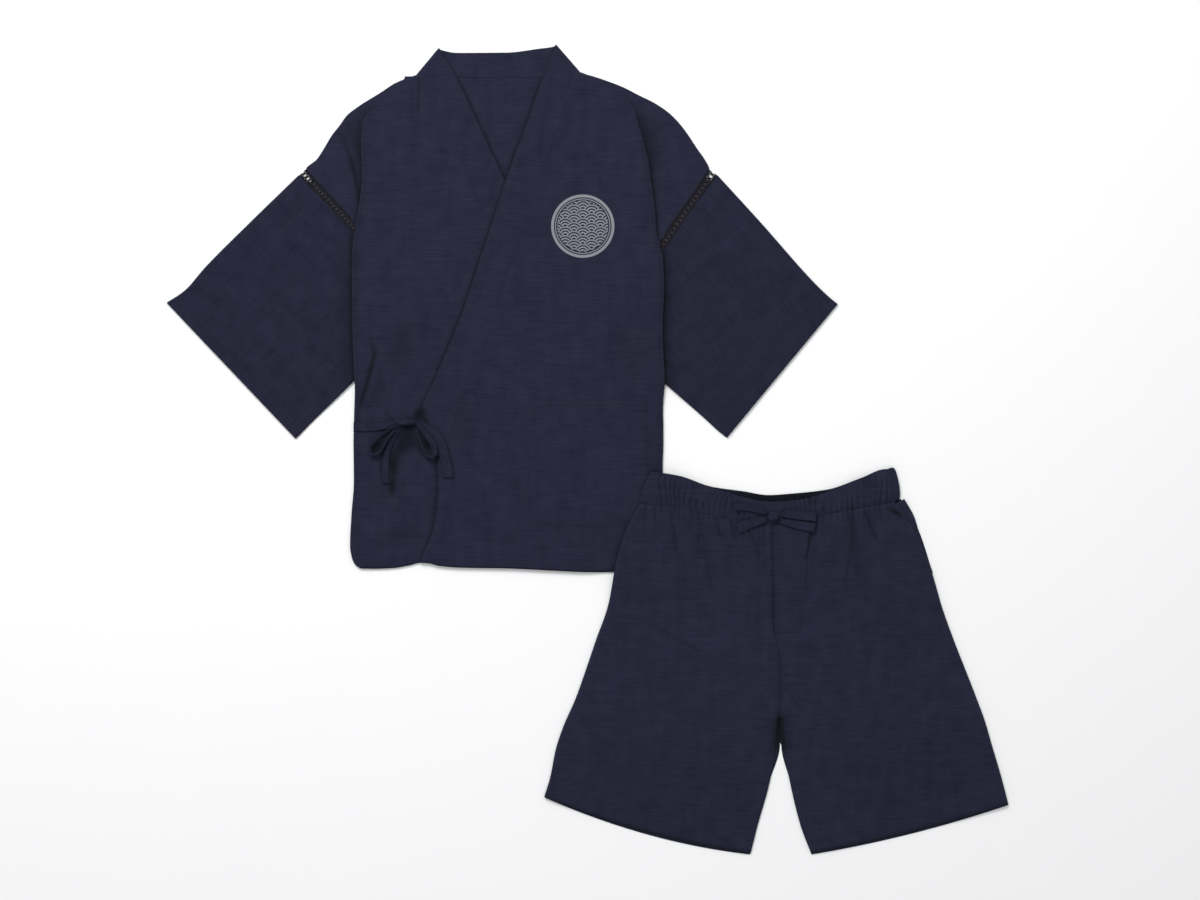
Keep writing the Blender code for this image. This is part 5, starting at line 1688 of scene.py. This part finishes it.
def flyMesh():
    y = np.linspace(fly["foot"], 474, 76)[:, None]
    left, right = fly["at"]["left"](y), fly["at"]["right"](y)
    share = np.linspace(0, 1, 30)[None, :]
    x = left + (right - left) * share
    fromLeft, fromRight = share * (right - left), (1 - share) * (right - left)
    rim = np.minimum(fromRight, y - fly["foot"])
    z = flyHeight(x, y) + legDetail(x, y, 67) * 0.8 + cloth["solid"] - 0.35 + 0.75 * smooth(rim / 5)
    z = z - 0.45 * (1 - smooth((y - 352) / 40)) * (1 - smooth(rim / 9))
    z = z - 0.3 * np.exp(-((fromRight - 6.0) / 1.2) ** 2)
    z = z + 0.12 * drift(x, y, (60, 7), 79)
    # painted shade along the fly's edges
    dark = 0.6 * np.exp(-(fromLeft / 1.8) ** 2) * smooth((y - 330) / 30)
    dark = np.maximum(dark, 0.7 * np.exp(-(fromRight / 2.6) ** 2) * smooth((y - 400) / 40))
    return sheetMesh(x, y, z, shorts, paintedShade=dark)


piece("flyFacing", flyMesh(), finishes["legs"], "shorts_fly", 0.9, 1, 0.4)


def bandMesh():
    front, frontRun = stretchAlong(band["front"], 1.0)
    rear, rearRun = stretchAlong(band["back"], 2.2)
    up = np.linspace(0, 1, 28)[None, :]
    parts, darks = [], []
    for rows, run, isFront in ((front, frontRun[:, None], True), (rear, rearRun[:, None], False)):
        topX, topY, lowX, lowY, z = (rows[:, k:k + 1] for k in range(5))
        x, y = lowX + (topX - lowX) * up, lowY + (topY - lowY) * up
        ends = smooth(run / 24) * smooth((run[-1] - run) / 24)
        # the ring's two ends bulge; the front is laid from one to the other and the back returns
        first, last = 1 - smooth(run / 16), 1 - smooth((run[-1] - run) / 16)
        bulge = 2.2 * last - 4.4 * first if isFront else 2.2 * first - 4.4 * last
        x = x + bulge * np.sin(math.pi * up**0.9)
        held = 0.5 - 0.5 * np.cos(up * 2 * math.pi * 3)  # rows of stitching hold the elastic
        if isFront:
            pleats = gather(x * 1.02 + 190, up, 81)
            patchy = np.clip(0.62 + 1.1 * drift(x, up * band["height"], (17, 12), 87), 0.1, 1.2)
            ripple = 1.3 * (pleats - 0.6) * ends * (0.6 + 0.4 * held) * patchy
            puff = 0.5 * np.sin(math.pi * up) ** 0.5
            height = z + ripple + puff + 0.25 - 1.7 * (1 - smooth(up / 0.22))  # down to the legs at its seam
            y = y + 1.1 * (pleats - 0.6) * ends * smooth((up - 0.6) / 0.4)
            # painted shade in the gathers' valleys and along the rows of stitching
            rowShade = 0.06 * (1 - held) * (up > 0.05) * (up < 0.95)
            darks.append(np.clip(1 - pleats, 0, 1) ** 2 * ends * 0.66 * patchy + rowShade)
        else:
            # the back lies on the surface; its gathers only press upwards
            height = z - 0.35 + 0.25 * (1 + gather(run + 0 * up, up, 91)) * ends
            darks.append(np.exp(-((x - 5) / 85) ** 4) + 0 * up)  # in the shade of the front
        parts.append((x, y, shortsLift(x, y) + height))
    xs, ys, zs = (np.vstack([part[k] for part in parts]).T for k in range(3))
    dark = np.clip(np.vstack(darks), 0, 1).T
    xs, ys, zs, dark = (np.hstack([values, values[:, :1]]) for values in (xs, ys, zs, dark))
    return sheetMesh(xs, ys, zs, shorts, closed=True, paintedShade=dark)


piece("waistband", bandMesh(), finishes["band"], "shorts_waistband", 1.3, 0)
print("waistband gathered")


def bandFace(x, y):
    # the top of the fly and of the gathered band, where the drawstring lies
    low, z = band["middle"]["low"](x), band["middle"]["z"](x)
    side = np.full(np.shape(x), 200.0)
    onFly = np.where(x > -8, cloth["solid"] + 0.9, 0)
    below = legHeight(x, np.minimum(y, low), side, side * 0.1) + cloth["solid"] + onFly
    return np.maximum(below, (z + 2.4) * smooth((y - low + 12) / 12))


def stringGround(x, y):
    return np.maximum(np.maximum(bandFace(x, y - 4), bandFace(x, y)), bandFace(x, y + 4))


for seed, (name, (node, rows)) in enumerate(tapes.items(), 101):
    ground, garment = (stringGround, shorts) if name.startswith("string") else (topSurface, top)
    made = piece(name, tapeMesh(rows, ground, garment, seed), finishes["tape"], node, tapeWall, 0, 0.45)

knots = {
    "tieKnot": {
        "node": "tie_knot",
        "place": (-139.8, 209.6, 8.8),
        "size": (13.0, 4.3, 4.2),
        "turn": 3,
        "on": top,
    },
    "stringKnot": {
        "node": "drawstring_knot",
        "place": (-3.0, 486.5, 12.8),
        "size": (8.2, 6.8, 4.2),
        "turn": 12,
        "on": shorts,
    },
}


def knotMesh(form):
    # tape wrapped over itself: an oval with the wraps' edges standing proud
    u = np.linspace(0, 2 * math.pi, 61)[None, :]
    v = np.linspace(-math.pi / 2, math.pi / 2, 37)[:, None]
    x, y, z = np.cos(v) * np.cos(u), np.cos(v) * np.sin(u), np.sin(v) + 0 * u
    wraps = x * 1.9 + 0.5 * y + 0.35 * np.sin(2.2 * y)
    swell = 1 + 0.075 * np.tanh(6 * np.sin(wraps * 2.6)) + 0.03 * drift(x * 9, y * 9, 3, 7)
    sx, sy, sz = form["size"]
    x, y, z = x * sx * swell, y * sy * swell, z * sz * swell
    turn = math.radians(form["turn"])
    px, py, pz = form["place"]
    c, s = math.cos(turn), math.sin(turn)
    return sheetMesh(px + x * c - y * s, py + x * s + y * c, pz + z, form["on"], closed=True)


for name, form in knots.items():
    piece(name, knotMesh(form), finishes["tape"], form["node"])
print("ties and drawstring tied")


# stitching: each line follows the cloth that it is sewn through

stitch = {
    "pitch": 3.4,
    "length": 2.3,
    "width": 0.42,
    "rise": 0.05,
    "hem": 18,  # the top's hem
}


def treeOf(*names):
    graph = bpy.context.evaluated_depsgraph_get()
    bm = bmesh.new()
    for name in names:
        made = pieces[name].evaluated_get(graph)
        bm.from_mesh(made.to_mesh())
        made.to_mesh_clear()
    tree = BVHTree.FromBMesh(bm)
    bm.free()
    return tree


def stitchLine(tree, path, garment, below=False):
    # small flat stitches along a path, dropped onto the cloth from above or below
    path = np.array(path, float)
    gaps = np.hypot(*(path[1:] - path[:-1]).T)
    run = np.concatenate([[0], np.cumsum(gaps)])
    px, py = garment["place"]
    found = []
    for start in np.arange(0.6, run[-1] - stitch["length"], stitch["pitch"]):
        ends = []
        for s in (start, start + stitch["length"]):
            x, y = np.interp(s, run, path[:, 0]), np.interp(s, run, path[:, 1])
            spot = Vector(((x + px) * mm, (y + py) * mm, -0.05 if below else 0.05))
            hit = tree.ray_cast(spot, Vector((0, 0, 1 if below else -1)))[0]
            if hit is None:
                break
            ends.append(hit)
        if len(ends) == 2 and abs(ends[0].z - ends[1].z) < 0.0015:
            found.append((ends[0], ends[1], -1 if below else 1))
    return found


def stitchMesh(lines):
    bm = bmesh.new()
    for found in lines:
        for a, b, up in found:
            made = bmesh.ops.create_cone(bm, cap_ends=True, segments=4, radius1=0.5, radius2=0.5, depth=1.0)
            ahead = (b - a).normalized()
            side = Vector((0, 0, 1)).cross(ahead).normalized()
            rise = ahead.cross(side).normalized()
            length = (b - a).length
            for v in made["verts"]:
                x, y, z = v.co
                taper = 0.6 if abs(z) > 0.49 else 1.0
                v.co = ((a + b) / 2 + ahead * (z * length) + side * (x * stitch["width"] * mm * 1.3 * taper)
                        + rise * (y * stitch["width"] * mm * 0.7 * taper + up * stitch["rise"] * mm))
    mesh = bpy.data.meshes.new("stitches")
    bm.to_mesh(mesh)
    bm.free()
    return mesh


def hemLine(x1, x2, count):
    return [(x, stitch["hem"] + float(hemShift(x, stitch["hem"]))) for x in np.linspace(x1, x2, count)]


def topStitching():
    fronts = treeOf("frontRight", "frontLeft", "pocket", "collar", "sleeveRight", "sleeveLeft")
    under = treeOf("backBody", "collar", "sleeveRight", "sleeveLeft")
    above = [
        hemLine(-216, -113, 30),
        hemLine(-112, 218, 70),
        [(float(crossing["front"](y)) + 3.0, y) for y in np.linspace(12, 150, 30)],
    ]
    below = [hemLine(-214, 220, 80)]
    inset, foot, high, outer = 2.2, 61.2, 239, 206  # round the pocket, then along its mouth
    above.append([(float(pocket["at"]["left"](y)) + inset, y) for y in np.linspace(high, foot, 20)]
                 + [(x, foot) for x in np.linspace(34.5, 203.5, 20)]
                 + [(outer - inset, y) for y in np.linspace(foot, high, 20)])
    above.append([(x, pocket["mouth"]) for x in np.linspace(41, 204, 20)])
    seams = rightFront["at"]["seam"], leftFront["at"]["seam"]
    above.append([(float(seams[0](y)) - inset, y) for y in np.linspace(300, 700, 60)])
    above.append([(float(seams[1](y)) + inset, y) for y in np.linspace(168, 706, 80)])
    for form in sleeves.values():
        shares = np.linspace(0.01, 0.99, 60)
        cuff = [tuple(float(v) for v in sleevePoint(form, cuffAt, share)) for share in shares]
        above.append(cuff)
        below.append(cuff)
    for aside in (-1.4, 5.4):
        below.append([(aside, y) for y in np.linspace(4, 702, 60)])
    below.append([(x, 705.8) for x in np.linspace(-120, 100, 30)])
    for side in ("right", "left"):
        x1, y1, ux, uy, length = laceLine(side)
        for aside in (-9.2, 9.2):
            runs = np.linspace(0.01, 0.97, 30) * length
            above.append([(x1 + ux * run + uy * aside, y1 + uy * run - ux * aside) for run in runs])
    # the cloth's top side, then its underside
    return stitchMesh([stitchLine(fronts, path, top) for path in above]
                      + [stitchLine(under, path, top, True) for path in below])


def legPath(form, shares, ats):
    path = []
    for share, at in zip(shares, ats):
        sx, sy, ix, iy, bow = (float(form["rows"][name](at)) for name in ("sx", "sy", "ix", "iy", "bow"))
        path.append((sx + (ix - sx) * share, sy + (iy - sy) * share - bow * 4 * share * (1 - share)))
    return path


def legWidths(form, ats):
    sx, sy, ix, iy = (form["rows"][name](ats) for name in ("sx", "sy", "ix", "iy"))
    return np.hypot(ix - sx, iy - sy)


def shortsStitching():
    fronts = treeOf("legFrontRight", "legFrontLeft", "flyFacing", "waistband", "pocketFacing")
    under = treeOf("legBackRight", "legBackLeft", "waistband")
    above, below = [], []
    for name, form in legs.items():
        paths = above if name.startswith("front") else below
        ats = np.linspace(0.0, 0.8 if name == "frontLeft" else 0.97, 60)  # to the pocket facing
        paths.append(legPath(form, legSeams["side"] / legWidths(form, ats), ats))
        ats = np.linspace(0.0, 0.36, 30)
        paths.append(legPath(form, 1 - legSeams["inner"] / legWidths(form, ats), ats))
        paths.append(legPath(form, np.linspace(0.01, 0.99, 60), np.full(60, legSeams["hem"])))
    for aside in (-2.6, 2.6):
        above.append([(float(centreSeam["x"](y)) + aside, y) for y in np.linspace(202, 312, 30)])
        below.append([(float(centreSeam["x"](y)) + aside, y) for y in np.linspace(202, 470, 60)])
    left, right = fly["at"]["left"], fly["at"]["right"]
    turn = 345  # where the fly's stitching turns in to the seam
    for inset in (4.0, 9.0):
        across = np.linspace(36 - inset, 4, 10)
        above.append([(float(right(y)) - inset, y) for y in np.linspace(462, turn, 40)]
                     + [(x, turn - (float(right(turn)) - inset - x) * 0.72) for x in across])
    above.append([(x, fly["foot"] + 1.5) for x in np.linspace(1, 35, 8)])
    above.append([(float(left(y)) + 1.6, y) for y in np.linspace(320, 466, 40)])
    mouth = [(165, 498), (178.5, 483), (192.5, 458), (206, 433.5), (220, 410)]
    above.append([(x - 2.5, y - 1.5) for x, y in mouth])
    above.append([(x - 9.5, y - 5) for x, y in mouth])
    for share in (0.14, 0.40, 0.68, 0.94):
        for layer, paths in (("front", above), ("back", below)):
            rows = band[layer][1:-1]
            paths.append([(lx + (tx - lx) * share, ly + (ty - ly) * share) for tx, ty, lx, ly, _ in rows])
    return stitchMesh([stitchLine(fronts, path, shorts) for path in above]
                      + [stitchLine(under, path, shorts, True) for path in below])


topThread = piece("topStitches", topStitching(), finishes["stitch"])
shortsThread = piece("shortsStitches", shortsStitching(), finishes["stitch"])
print("stitched:", len(topThread.data.polygons), "and", len(shortsThread.data.polygons), "faces")


# camera straight above, floor and soft light

camera = {"aim": (0.0178, -0.0007, 0.0), "lens": 85.0, "film": 36.0, "width": 1.728}
eye = bpy.data.cameras.new("eye")
eye.lens, eye.sensor_width = camera["lens"], camera["film"]
eyeObject = bpy.data.objects.new("eye", eye)
eyeObject.location = Vector(camera["aim"]) + Vector((0, 0, camera["width"] * camera["lens"] / camera["film"]))
bpy.context.scene.collection.objects.link(eyeObject)
bpy.context.scene.camera = eyeObject

floorFinish = Finish("paleFloor")
grain = floorFinish.noise(floorFinish.node("TexCoord")[3], (9.0, 9.0, 9.0), 2.0)
paper = floorFinish.mix(grain, (0.985, 0.985, 0.99, 1), (0.998, 0.998, 0.998, 1))
floorFinish.give(Base_Color=paper, Roughness=0.9)
bm = bmesh.new()
bmesh.ops.create_grid(bm, x_segments=1, y_segments=1, size=6.0)
bmesh.ops.translate(bm, verts=bm.verts, vec=(0, 0, -0.0003))
floorMesh = bpy.data.meshes.new("floor")
bm.to_mesh(floorMesh)
bm.free()
floorMesh.materials.append(floorFinish.material)
floor = bpy.data.objects.new("floor", floorMesh)
bpy.context.scene.collection.objects.link(floor)

key = {"from": (-0.8, 2.0, 2.3), "size": 1.4, "watts": 62}
lamp = bpy.data.lights.new("key", "AREA")
lamp.size, lamp.energy = key["size"], key["watts"]
lampObject = bpy.data.objects.new("key", lamp)
lampObject.location = key["from"]
lampObject.rotation_euler = (-Vector(key["from"])).to_track_quat("-Z", "Y").to_euler()
bpy.context.scene.collection.objects.link(lampObject)
world = bpy.data.worlds.new("studio")
world.use_nodes = True
world.node_tree.nodes["Background"].inputs["Color"].default_value = (0.98, 0.985, 1.0, 1)
world.node_tree.nodes["Background"].inputs["Strength"].default_value = 0.62
bpy.context.scene.world = world
bpy.context.scene.view_settings.view_transform = "Standard"
print("stage set")
